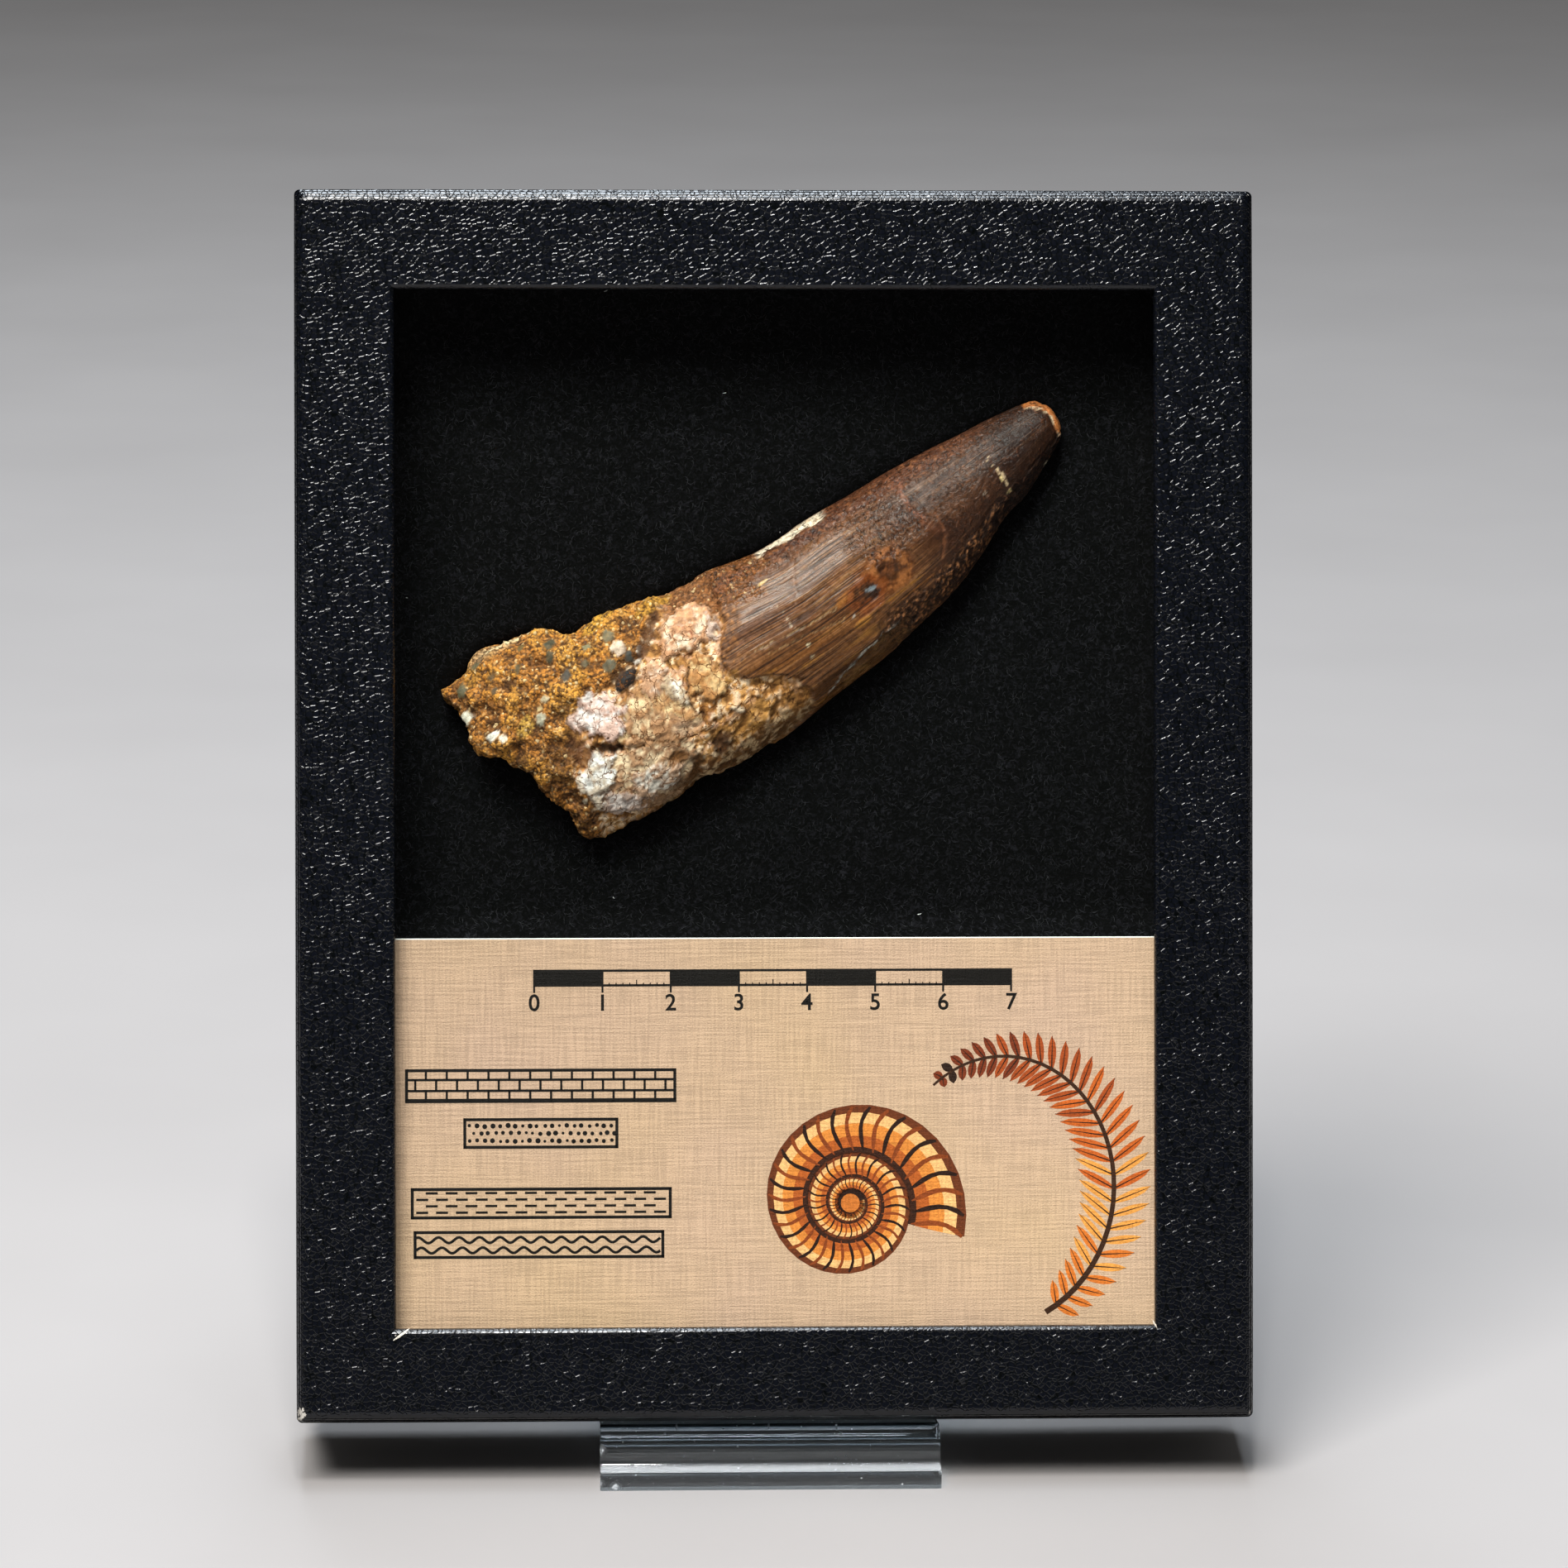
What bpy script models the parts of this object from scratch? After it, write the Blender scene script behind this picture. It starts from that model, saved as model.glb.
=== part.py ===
"""A fossil tooth in a glass-fronted display case that leans on a clear easel."""

import math

import bmesh
import bpy
from mathutils import Vector, noise

MM = 0.001
GAP = 0.3 * MM

# The case, measured square to its front: X across, Y into the case, Z up the face
CASE_WIDTH = 140 * MM
CASE_HEIGHT = 180 * MM
CASE_DEPTH = 27 * MM
BOARD = 1.6 * MM
LID_RIM_SHORT = 1.5 * MM
LID_EDGE_ROUND = 1.9 * MM
LID_CORNER_ROUND = 1.0 * MM
LID_WALL_BOW = 0.8 * MM

# The window cut in the lid, and the pane behind it
WINDOW_SIDE_BORDER = 14.5 * MM
WINDOW_TOP_BORDER = 14.5 * MM
WINDOW_BOTTOM_BORDER = 13.7 * MM
WINDOW_EDGE_ROUND = 1.3 * MM
PANE_THICKNESS = 1.8 * MM

# The printed card behind the lower part of the pane
CARD_WIDTH = 118 * MM
CARD_BOTTOM = 9 * MM
CARD_TOP = 70.5 * MM
CARD_THICKNESS = 0.4 * MM

# The felt-covered pad: its flat face, and the swell that holds the card to the pane
FELT_FACE_DEPTH = 15 * MM
SWELL_TOP = 62 * MM
SWELL_FOOT = 74 * MM
BED_CLEARANCE = 1.7 * MM

# The tooth lies in the felt, its axis rising to the right
TOOTH_CENTRE = Vector((2.0, 14.4, 116.0)) * MM
TOOTH_BACK_SHARE = 0.85
TOOTH_BACK_RELIEF = 0.6
TOOTH_RELIEF_LIMIT = 1.2
TOOTH_RISE = math.radians(31)
TOOTH_RING_POINTS = 44
TOOTH_RINGS_PER_STATION = 3
BED_RING_POINTS = 20

# The easel, one bent strip of sheet
CASE_LEAN = math.radians(14)
EASEL_WIDTH = 50 * MM
EASEL_OFFSET_X = -0.8 * MM
EASEL_SHEET = 2.8 * MM
EASEL_BEND = 2.2 * MM
EASEL_BEND_STEPS = 6
EASEL_FOOT_PROUD = 1 * MM
EASEL_RISER_SET_BACK = 2 * MM
EASEL_BACK_HEIGHT = 92 * MM
EASEL_DEPTH = 88 * MM

# Depths and heights that follow from the ones above
PANE_FRONT = BOARD + GAP
PANE_BACK = PANE_FRONT + PANE_THICKNESS
CARD_FRONT = PANE_BACK + GAP
CARD_BACK = CARD_FRONT + CARD_THICKNESS
LID_RIM = CASE_DEPTH - LID_RIM_SHORT
TRAY_INSET = BOARD + GAP
PAD_INSET = TRAY_INSET + BOARD + GAP
PAD_BACK = CASE_DEPTH - BOARD - GAP
SHELF_GAP = LID_WALL_BOW + GAP

# Stations of the tooth in millimetres along and across its axis, from tip to broken root:
# upper edge (along, across), lower edge (along, across), half thickness
TOOTH_STATIONS = (
    (49.7, 8.6, 49.3, 3.0, 3.0),
    (48.4, 10.0, 47.2, 1.8, 4.2),
    (42.3, 10.9, 40.9, -1.4, 5.7),
    (37.3, 11.2, 36.3, -2.7, 6.4),
    (31.4, 11.7, 30.7, -5.6, 7.1),
    (24.8, 12.0, 24.5, -8.1, 7.8),
    (18.1, 12.0, 17.8, -9.7, 8.3),
    (11.4, 12.2, 11.1, -11.2, 8.7),
    (5.3, 11.8, 5.1, -11.9, 8.9),
    (0.8, 12.0, 0.4, -12.4, 9.0),
    (-5.8, 13.2, -5.9, -13.4, 9.0),
    (-11.7, 13.5, -11.3, -13.8, 9.0),
    (-18.5, 15.0, -17.2, -13.8, 9.0),
    (-22.8, 15.7, -21.3, -13.7, 8.9),
    (-27.0, 15.5, -25.3, -13.7, 8.8),
    (-29.5, 17.4, -28.3, -13.7, 8.8),
    (-34.5, 20.0, -31.9, -13.7, 8.6),
    (-39.3, 20.7, -35.4, -13.2, 8.3),
    (-42.7, 20.0, -38.7, -12.7, 7.8),
    (-45.9, 19.0, -40.8, -11.6, 7.0),
    (-48.5, 17.7, -41.9, -10.1, 5.8),
)

# Broken plates of pale enamel on the root side: along, across, radius and height in millimetres
PALE_PLATES = (
    (-12.5, 6.6, 3.6, 0.9),
    (-14.5, 1.4, 3.4, 0.8),
    (-27.5, 5.2, 4.2, 1.0),
    (-21.0, 0.0, 4.0, 0.7),
    (-33.5, -6.8, 3.8, 0.9),
)

# Larger stones standing out of the sandstone, given in the same way
PEBBLES = (
    (-23.0, 5.0, 1.8, 1.2),
    (-32.0, 11.5, 1.6, 0.9),
    (-26.5, 11.0, 1.5, 1.0),
    (-44.0, 9.0, 1.7, 0.9),
    (-38.5, 3.5, 1.4, 0.8),
    (-29.5, 17.0, 1.6, 0.9),
)


def clear_scene():
    """Remove whatever the scene holds."""
    for item in list(bpy.data.objects):
        bpy.data.objects.remove(item, do_unlink=True)


def make_material(name, colour, roughness, metallic=0.0, transmission=0.0, ior=1.5):
    """A Principled material of one finish."""
    material = bpy.data.materials.new(name)
    material.use_nodes = True
    shader = material.node_tree.nodes["Principled BSDF"]
    shader.inputs["Base Color"].default_value = (*colour, 1.0)
    shader.inputs["Roughness"].default_value = roughness
    shader.inputs["Metallic"].default_value = metallic
    shader.inputs["Transmission Weight"].default_value = transmission
    shader.inputs["IOR"].default_value = ior
    return material


def finish_object(name, shape, material, parent=None, smooth_angle=30):
    """Turn a bmesh into a named object, shaded smooth except across sharp edges."""
    bmesh.ops.recalc_face_normals(shape, faces=shape.faces)
    mesh = bpy.data.meshes.new(name)
    shape.to_mesh(mesh)
    shape.free()
    mesh.shade_smooth()
    mesh.set_sharp_from_angle(angle=math.radians(smooth_angle))
    mesh.materials.append(material)
    item = bpy.data.objects.new(name, mesh)
    bpy.context.collection.objects.link(item)
    item.parent = parent
    return item


def skin_rings(shape, rings, closed):
    """Join rings of equal count with faces, and join the last to the first when closed."""
    loops = [[shape.verts.new(point) for point in ring] for ring in rings]
    count = len(loops[0])
    pairs = list(zip(loops, loops[1:]))
    if closed:
        pairs.append((loops[-1], loops[0]))
    for near, far in pairs:
        for i in range(count):
            j = (i + 1) % count
            shape.faces.new((near[i], near[j], far[j], far[i]))
    return loops


def close_ring(shape, loop, point):
    """Close a ring with a fan of faces to one point."""
    centre = shape.verts.new(point)
    for i, vertex in enumerate(loop):
        shape.faces.new((vertex, loop[(i + 1) % len(loop)], centre))


def smoothstep(low, high, value):
    """Ease from 0 at low to 1 at high."""
    share = min(1.0, max(0.0, (value - low) / (high - low)))
    return share * share * (3 - 2 * share)


def frame_ring(left, right, bottom, top, depth, corner, bow=0.0):
    """A rectangle round the case at one depth, its sides bulging by bow between corners."""
    middle_x, middle_z = (left + right) / 2, (bottom + top) / 2
    half_x, half_z = (right - left) / 2 - corner, (top - bottom) / 2 - corner
    fractions = (-0.93, -0.75, 0.0, 0.75, 0.93)
    points = []
    for turn in range(4):
        angle = turn * math.pi / 2
        along, out = (half_z, half_x) if turn % 2 == 0 else (half_x, half_z)
        outward = Vector((math.cos(angle), 0, math.sin(angle)))
        onward = Vector((-math.sin(angle), 0, math.cos(angle)))
        for share in fractions:
            bulge = bow * (1 - abs(share) ** 8)
            points.append(outward * (out + corner + bulge) + onward * (along * share))
        centre = outward * out + onward * along
        for step in range(3):
            swing = angle + step * math.pi / 4
            points.append(centre + Vector((math.cos(swing), 0, math.sin(swing))) * corner)
    return [point + Vector((middle_x, depth, middle_z)) for point in points]


def case_ring(inset, depth, corner, bow=0.0):
    """A ring that lies inset from the outline of the case."""
    half = CASE_WIDTH / 2 - inset
    return frame_ring(-half, half, inset, CASE_HEIGHT - inset, depth, corner, bow)


def window_ring(outset, depth):
    """A ring that lies outset from the clear opening of the window."""
    half = CASE_WIDTH / 2 - WINDOW_SIDE_BORDER + outset
    bottom = WINDOW_BOTTOM_BORDER - outset
    top = CASE_HEIGHT - WINDOW_TOP_BORDER + outset
    return frame_ring(-half, half, bottom, top, depth, 0.2 * MM + outset)


def make_box_lid(parent, material):
    """The lid: a board frame round the window, with four walls that bow out to their rim."""
    quarter = [math.radians(a) for a in (0, 30, 60, 90)]
    roll, edge = WINDOW_EDGE_ROUND, LID_EDGE_ROUND
    rings = [window_ring(0, BOARD)]
    rings += [window_ring(roll * (1 - math.cos(a)), roll * (1 - math.sin(a))) for a in quarter]
    for a in quarter:
        rings.append(case_ring(edge * (1 - math.sin(a)), edge * (1 - math.cos(a)), LID_CORNER_ROUND))
    middle = (LID_EDGE_ROUND + LID_RIM) / 2
    rings.append(case_ring(0, middle, LID_CORNER_ROUND, LID_WALL_BOW * middle / LID_RIM))
    rings.append(case_ring(0, LID_RIM - BOARD / 3, LID_CORNER_ROUND, LID_WALL_BOW))
    rings.append(case_ring(BOARD / 3, LID_RIM, LID_CORNER_ROUND, LID_WALL_BOW))
    rings.append(case_ring(BOARD, LID_RIM, 0.3 * MM, LID_WALL_BOW))
    rings.append(case_ring(BOARD, middle, 0.3 * MM, LID_WALL_BOW * middle / LID_RIM))
    rings.append(case_ring(BOARD, BOARD, 0.3 * MM))
    shape = bmesh.new()
    skin_rings(shape, rings, closed=True)
    return finish_object("box_lid", shape, material, parent)


def make_plate(name, left, right, bottom, top, front, back, parent, material, corner):
    """A flat plate with slightly eased edges."""
    ease = min(0.15 * MM, (back - front) / 4)
    rings = []
    for inset, depth in ((ease, front), (0, front + ease), (0, back - ease), (ease, back)):
        ring = frame_ring(left + inset, right - inset, bottom + inset, top - inset, depth, corner)
        rings.append(ring)
    shape = bmesh.new()
    loops = skin_rings(shape, rings, closed=False)
    shape.faces.new(loops[0])
    shape.faces.new(loops[-1])
    return finish_object(name, shape, material, parent, smooth_angle=60)


def make_box_tray(parent, material):
    """The tray: a back board and four walls that slip into the lid and hold the pane."""
    corner = 0.6 * MM
    ease = BOARD / 4
    outer = [(TRAY_INSET + ease, CASE_DEPTH), (TRAY_INSET, CASE_DEPTH - ease), (TRAY_INSET, CARD_FRONT)]
    inner = [(TRAY_INSET + BOARD, CARD_FRONT), (TRAY_INSET + BOARD, CASE_DEPTH - BOARD)]
    shape = bmesh.new()
    rings = [case_ring(inset, depth, corner) for inset, depth in outer + inner]
    loops = skin_rings(shape, rings, closed=False)
    shape.faces.new(loops[0])
    shape.faces.new(loops[-1])
    return finish_object("box_tray", shape, material, parent)


def tooth_station(place):
    """The station at a fractional place in the list, on a smooth curve through its rows."""
    last = len(TOOTH_STATIONS) - 1
    index = min(int(place), last - 1)
    share = place - index
    rows = [TOOTH_STATIONS[min(max(index + k, 0), last)] for k in (-1, 0, 1, 2)]
    values = []
    for a, b, c, d in zip(*rows):
        curve = 2 * b + (c - a) * share + (2 * a - 5 * b + 4 * c - d) * share ** 2
        curve += (3 * b - a - 3 * c + d) * share ** 3
        values.append(curve / 2)
    return values


def broken_end(along, across):
    """How far the broken root end stands back from a straight cut, in millimetres."""
    reach = smoothstep(-34, -44, along)
    knob = 2.4 * math.exp(-((across - 10) / 3.5) ** 2)
    hollow = 2.2 * math.exp(-((across + 3.5) / 4.5) ** 2)
    return reach * (hollow - knob)


def enamel_edge(across):
    """Where the enamel of the crown ends, along the axis, at a height across it."""
    return -12 + 0.065 * (across + 0.5) ** 2


def dome(along, across, spots, sharpness):
    """The height of a group of low rounded spots at one point, in millimetres."""
    height = 0.0
    for spot_along, spot_across, radius, rise in spots:
        distance = math.hypot(along - spot_along, across - spot_across) / radius
        height = max(height, rise * (1 - smoothstep(sharpness, 1.15, distance)))
    return height


def tooth_relief(along, across, depth_side):
    """Relief of the tooth surface in millimetres: ledge, flutes, plates, lumps and pits."""
    place = Vector((along, across, 9 * depth_side))
    past_edge = smoothstep(0.6, -0.8, along - enamel_edge(across))
    rough = smoothstep(-10, -26, along)
    lumps = noise.fractal(place * 0.17, 0.7, 2.1, 4) * (0.3 + 1.9 * rough)
    grains = noise.noise(place * 0.45) * 0.8 * rough
    flutes = 0.12 * math.cos(across * 2.1) * (1 - past_edge) * smoothstep(38, 18, along)
    relief = lumps * past_edge + grains + flutes - 0.8 * past_edge * (1 - 0.7 * rough)
    relief = min(relief, TOOTH_RELIEF_LIMIT)
    if depth_side < 0:
        relief += dome(along, across, PALE_PLATES, 0.75) + dome(along, across, PEBBLES, 0.35)
        return min(relief, TOOTH_RELIEF_LIMIT)
    return relief * TOOTH_BACK_RELIEF


def tooth_point(along, across, depth):
    """A point given along and across the tooth and into the case, in the case's frame."""
    cos, sin = math.cos(TOOTH_RISE), math.sin(TOOTH_RISE)
    along, across = along * MM, across * MM
    return TOOTH_CENTRE + Vector((along * cos - across * sin, depth * MM, along * sin + across * cos))


def tooth_ring(place, count, swell, relief):
    """One section of the tooth, swollen all round by a margin in millimetres."""
    upper_along, upper_across, lower_along, lower_across, half_depth = tooth_station(place)
    middle = Vector((upper_along + lower_along, upper_across + lower_across)) / 2
    half = Vector((upper_along - lower_along, upper_across - lower_across)) / 2
    square = 1 - 0.22 * smoothstep(-8, -24, middle.x)
    points = []
    for i in range(count):
        turn = 2 * math.pi * i / count
        side = math.copysign(abs(math.cos(turn)) ** square, math.cos(turn))
        deep = math.copysign(abs(math.sin(turn)) ** square, math.sin(turn))
        spot = middle + half * side
        grow = swell
        if relief:
            grow += tooth_relief(spot.x, spot.y, deep)
        spot += half.normalized() * grow * side
        stretch = smoothstep(46, 49, spot.x) - smoothstep(-34, -41, spot.x)
        along = spot.x + broken_end(spot.x, spot.y) + swell * stretch
        reach = half_depth if deep < 0 else half_depth * TOOTH_BACK_SHARE
        points.append(tooth_point(along, spot.y, (reach + grow) * deep))
    return points


def tooth_shape(count, rings_per_station, swell, relief):
    """The whole tooth, or with a swell and no relief the space that it lies in."""
    shape = bmesh.new()
    steps = (len(TOOTH_STATIONS) - 1) * rings_per_station
    rings = [tooth_ring(k / rings_per_station, count, swell, relief) for k in range(steps + 1)]
    rings.append([point.lerp(sum(rings[-1], Vector()) / count, 0.45) for point in rings[-1]])
    loops = skin_rings(shape, rings, closed=False)
    tip = tooth_point(50.4 + swell, 6.2, 0)
    root = sum((vertex.co for vertex in loops[-1]), Vector()) / count
    close_ring(shape, list(reversed(loops[0])), tip)
    close_ring(shape, loops[-1], root - tooth_point(swell, 0, 0) + tooth_point(0, 0, 0))
    return shape


def make_felt_pad(parent, material):
    """The pad: a thick face, a swell behind the card, and the bed that the tooth has pressed."""
    low, high = PAD_INSET, CASE_HEIGHT - PAD_INSET
    swell_face = CARD_BACK + GAP
    profile = (
        (PAD_BACK, low),
        (PAD_BACK, high),
        (FELT_FACE_DEPTH, high),
        (FELT_FACE_DEPTH, SWELL_FOOT),
        (swell_face + 1.5 * MM, SWELL_TOP + 1.5 * MM),
        (swell_face, SWELL_TOP - 2 * MM),
        (swell_face, low),
    )
    half = CASE_WIDTH / 2 - PAD_INSET
    shape = bmesh.new()
    loop = [shape.verts.new((-half, depth, height)) for depth, height in profile]
    side = shape.faces.new(loop)
    swept = bmesh.ops.extrude_face_region(shape, geom=[side])
    moved = [item for item in swept["geom"] if isinstance(item, bmesh.types.BMVert)]
    bmesh.ops.translate(shape, verts=moved, vec=(2 * half, 0, 0))
    pad = finish_object("felt_pad", shape, material, parent)

    bed_shape = tooth_shape(BED_RING_POINTS, 1, BED_CLEARANCE / MM, relief=False)
    bed = finish_object("tooth_bed", bed_shape, material, parent)
    bed.hide_render = True
    bed.display_type = "WIRE"
    cut = pad.modifiers.new("bed", "BOOLEAN")
    cut.operation = "DIFFERENCE"
    cut.object = bed
    return pad


def make_fossil_tooth(parent, material):
    """The fossil: the crown with its enamel, and the sandstone still set round its root."""
    shape = tooth_shape(TOOTH_RING_POINTS, TOOTH_RINGS_PER_STATION, 0.0, relief=True)
    return finish_object("fossil_tooth", shape, material, parent, smooth_angle=50)


def bent_line(corners, radius, steps):
    """Points and directions along a line through corners, each rounded to a radius."""
    line = [(corners[0], (corners[1] - corners[0]).normalized())]
    for before, corner, after in zip(corners, corners[1:], corners[2:]):
        arriving = (corner - before).normalized()
        leaving = (after - corner).normalized()
        turn = arriving.angle_signed(leaving)
        reach = radius * math.tan(abs(turn) / 2)
        start = corner - arriving * reach
        normal = Vector((arriving.y, -arriving.x)) * math.copysign(radius, turn)
        centre = start + normal
        for step in range(steps + 1):
            angle = -turn * step / steps
            cos, sin = math.cos(angle), math.sin(angle)
            arm = -normal
            spun = Vector((arm.x * cos - arm.y * sin, arm.x * sin + arm.y * cos))
            direction = Vector((arriving.x * cos - arriving.y * sin, arriving.x * sin + arriving.y * cos))
            line.append((centre + spun, direction))
    line.append((corners[-1], (corners[-1] - corners[-2]).normalized()))
    return line


def case_to_world(depth, height, front_y, lift):
    """Where a point of the leaning case's side view lies, as (Y, Z) of the world."""
    cos, sin = math.cos(CASE_LEAN), math.sin(CASE_LEAN)
    return Vector((front_y + depth * cos + height * sin, lift - depth * sin + height * cos))


def case_lift():
    """Height of the case's lower front edge when the easel's rear bend touches the table."""
    inner = EASEL_BEND - EASEL_SHEET / 2
    centre = case_to_world(CASE_DEPTH + GAP - inner, inner - SHELF_GAP, 0, 0)
    return EASEL_BEND + EASEL_SHEET / 2 - centre.y


def make_easel(front_y, lift, material):
    """The easel: foot, riser, shelf, back and rear leg, bent from one strip of clear sheet."""
    half = EASEL_SHEET / 2
    shelf_depth = CASE_DEPTH + GAP + half
    riser_y = front_y + EASEL_RISER_SET_BACK + half
    shelf_height = -SHELF_GAP - half
    depth_at_riser = (riser_y - front_y - shelf_height * math.sin(CASE_LEAN)) / math.cos(CASE_LEAN)
    rear_y = EASEL_DEPTH / 2
    top = case_to_world(shelf_depth, EASEL_BACK_HEIGHT, front_y, lift)
    leg_run = rear_y - top.x - half
    leg = Vector((leg_run, -top.y)).normalized()
    slant = half / abs(leg.y)
    corners = [
        Vector((front_y - EASEL_FOOT_PROUD, half)),
        Vector((riser_y, half)),
        case_to_world(depth_at_riser, shelf_height, front_y, lift),
        case_to_world(shelf_depth, shelf_height, front_y, lift),
        top,
        Vector((rear_y - slant, 0)),
    ]
    line = bent_line(corners, EASEL_BEND, EASEL_BEND_STEPS)
    upper, lower = [], []
    for point, direction in line:
        normal = Vector((-direction.y, direction.x)) * half
        upper.append(point + normal)
        lower.append(point - normal)
    upper[-1] = Vector((rear_y, 0))
    lower[-1] = Vector((rear_y - 2 * slant, 0))

    shape = bmesh.new()
    sides = []
    for side in (-1, 1):
        x = EASEL_OFFSET_X + side * EASEL_WIDTH / 2
        sides.append([shape.verts.new((x, p.x, p.y)) for p in upper + list(reversed(lower))])
    count = len(sides[0])
    for i in range(count):
        j = (i + 1) % count
        shape.faces.new((sides[0][i], sides[0][j], sides[1][j], sides[1][i]))
    strip = len(upper)
    for loop in sides:
        for i in range(strip - 1):
            k = count - 1 - i
            shape.faces.new((loop[i], loop[i + 1], loop[k - 1], loop[k]))
    return finish_object("easel_stand", shape, material, smooth_angle=25)


def main():
    clear_scene()
    leatherette = make_material("black leatherette paper on board", (0.012, 0.014, 0.017), 0.42)
    board = make_material("black lined board", (0.014, 0.014, 0.015), 0.7)
    glass = make_material("window glass", (0.95, 0.97, 0.96), 0.02, transmission=1.0, ior=1.52)
    card = make_material("linen-embossed card", (0.66, 0.47, 0.32), 0.75)
    felt = make_material("black felt", (0.008, 0.008, 0.009), 0.95)
    fossil = make_material("fossil enamel and sandstone", (0.17, 0.09, 0.045), 0.5)
    acrylic = make_material("clear acrylic sheet", (0.96, 0.98, 0.98), 0.03, transmission=1.0, ior=1.49)

    front_y = -EASEL_DEPTH / 2 + EASEL_FOOT_PROUD
    lift = case_lift()
    case = bpy.data.objects.new("case_lean", None)
    bpy.context.collection.objects.link(case)
    case.location = (0, front_y, lift)
    case.rotation_euler = (-CASE_LEAN, 0, 0)

    make_box_lid(case, leatherette)
    pane_half = CASE_WIDTH / 2 - TRAY_INSET
    make_plate("window_pane", -pane_half, pane_half, TRAY_INSET, CASE_HEIGHT - TRAY_INSET,
               PANE_FRONT, PANE_BACK, case, glass, 0.5 * MM)
    make_plate("info_card", -CARD_WIDTH / 2, CARD_WIDTH / 2, CARD_BOTTOM, CARD_TOP,
               CARD_FRONT, CARD_BACK, case, card, 0.2 * MM)
    make_box_tray(case, board)
    make_felt_pad(case, felt)
    make_fossil_tooth(case, fossil)
    make_easel(front_y, lift, acrylic)


main()
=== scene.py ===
import math
import random

import bmesh
import bpy
import numpy as np
from mathutils import Matrix, Vector, noise


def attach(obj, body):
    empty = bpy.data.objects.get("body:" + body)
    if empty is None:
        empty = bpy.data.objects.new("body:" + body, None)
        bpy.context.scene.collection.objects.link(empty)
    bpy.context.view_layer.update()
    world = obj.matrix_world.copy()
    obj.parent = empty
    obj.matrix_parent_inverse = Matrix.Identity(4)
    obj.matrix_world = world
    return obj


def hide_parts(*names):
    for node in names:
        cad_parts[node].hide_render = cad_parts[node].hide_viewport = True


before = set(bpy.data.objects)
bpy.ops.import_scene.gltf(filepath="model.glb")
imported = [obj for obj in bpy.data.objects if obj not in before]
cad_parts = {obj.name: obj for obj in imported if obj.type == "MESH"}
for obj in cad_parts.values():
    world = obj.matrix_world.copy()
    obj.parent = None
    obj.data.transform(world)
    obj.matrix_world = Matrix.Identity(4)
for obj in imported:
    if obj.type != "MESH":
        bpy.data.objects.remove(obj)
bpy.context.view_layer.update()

# The lid of the display case: a frame of greyboard with four walls, covered in one sheet of black
# leatherette paper that is turned in round the window and the rim. The walls bow out a little.
MM = 0.001
HAIR, CLOSE = 0.01 * MM, 0.1 * MM
CASE_WIDTH, CASE_HEIGHT, CASE_DEPTH = 140 * MM, 180 * MM, 27 * MM
BOARD = 1.6 * MM
LID_RIM = 25.5 * MM
LID_EDGE_ROUND, LID_CORNER_ROUND, WINDOW_EDGE_ROUND = 1.9 * MM, 0.7 * MM, 0.9 * MM
LID_HEAD = CASE_HEIGHT - 0.25 * MM
WALL_BOW, WALL_WAVE = 0.8 * MM, 0.16 * MM
WINDOW_BORDER, WINDOW_FOOT = 14.5 * MM, 13.7 * MM
FLAP_REACH, FLAP_STEP = 11 * MM, 0.13 * MM
CUTS_ACROSS = (0, 0.2, 0.4, 0.6, 0.78, 0.86, 0.92, 0.97)
CUTS_UP = (0, 0.18, 0.36, 0.54, 0.72, 0.86, 0.93, 0.97)
CASE_LEAN = math.radians(14)
CASE_FOOT = Vector((0, -43 * MM, 10.302 * MM))
LEANING = Matrix.Translation(CASE_FOOT) @ Matrix.Rotation(-CASE_LEAN, 4, "X")


def edit(piece):
    """Open one piece in edit mode with nothing selected."""
    bpy.ops.object.select_all(action="DESELECT")
    piece.select_set(True)
    bpy.context.view_layer.objects.active = piece
    bpy.ops.object.mode_set(mode="EDIT")
    bpy.ops.mesh.select_all(action="DESELECT")


def pick(kind, test):
    """Select the points, edges or faces that pass a test, such as lying within a hair of a plane."""
    mesh = bpy.context.object.data
    bpy.ops.mesh.select_mode(type=kind)
    bpy.ops.mesh.select_all(action="DESELECT")
    shape = bmesh.from_edit_mesh(mesh)
    for item in {"VERT": shape.verts, "EDGE": shape.edges, "FACE": shape.faces}[kind]:
        if test(item):
            item.select_set(True)
    shape.select_flush_mode()
    bmesh.update_edit_mesh(mesh)


def slice_up(axis, places):
    """Cut the open piece across one axis at each place, so that its walls can be curved."""
    direction = [float(i == axis) for i in range(3)]
    for place in places:
        bpy.ops.mesh.select_all(action="SELECT")
        bpy.ops.mesh.bisect(plane_co=[place * d for d in direction], plane_no=direction)


def block(name, low, high):
    """A box between two corners, with its place in its mesh, to shape further."""
    bpy.ops.object.select_all(action="DESELECT")
    low, high = Vector(low), Vector(high)
    bpy.ops.mesh.primitive_cube_add(size=1, location=(low + high) / 2)
    piece = bpy.context.object
    piece.name = name
    piece.scale = high - low
    bpy.ops.object.transform_apply(location=True, rotation=True, scale=True)
    return piece


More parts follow.
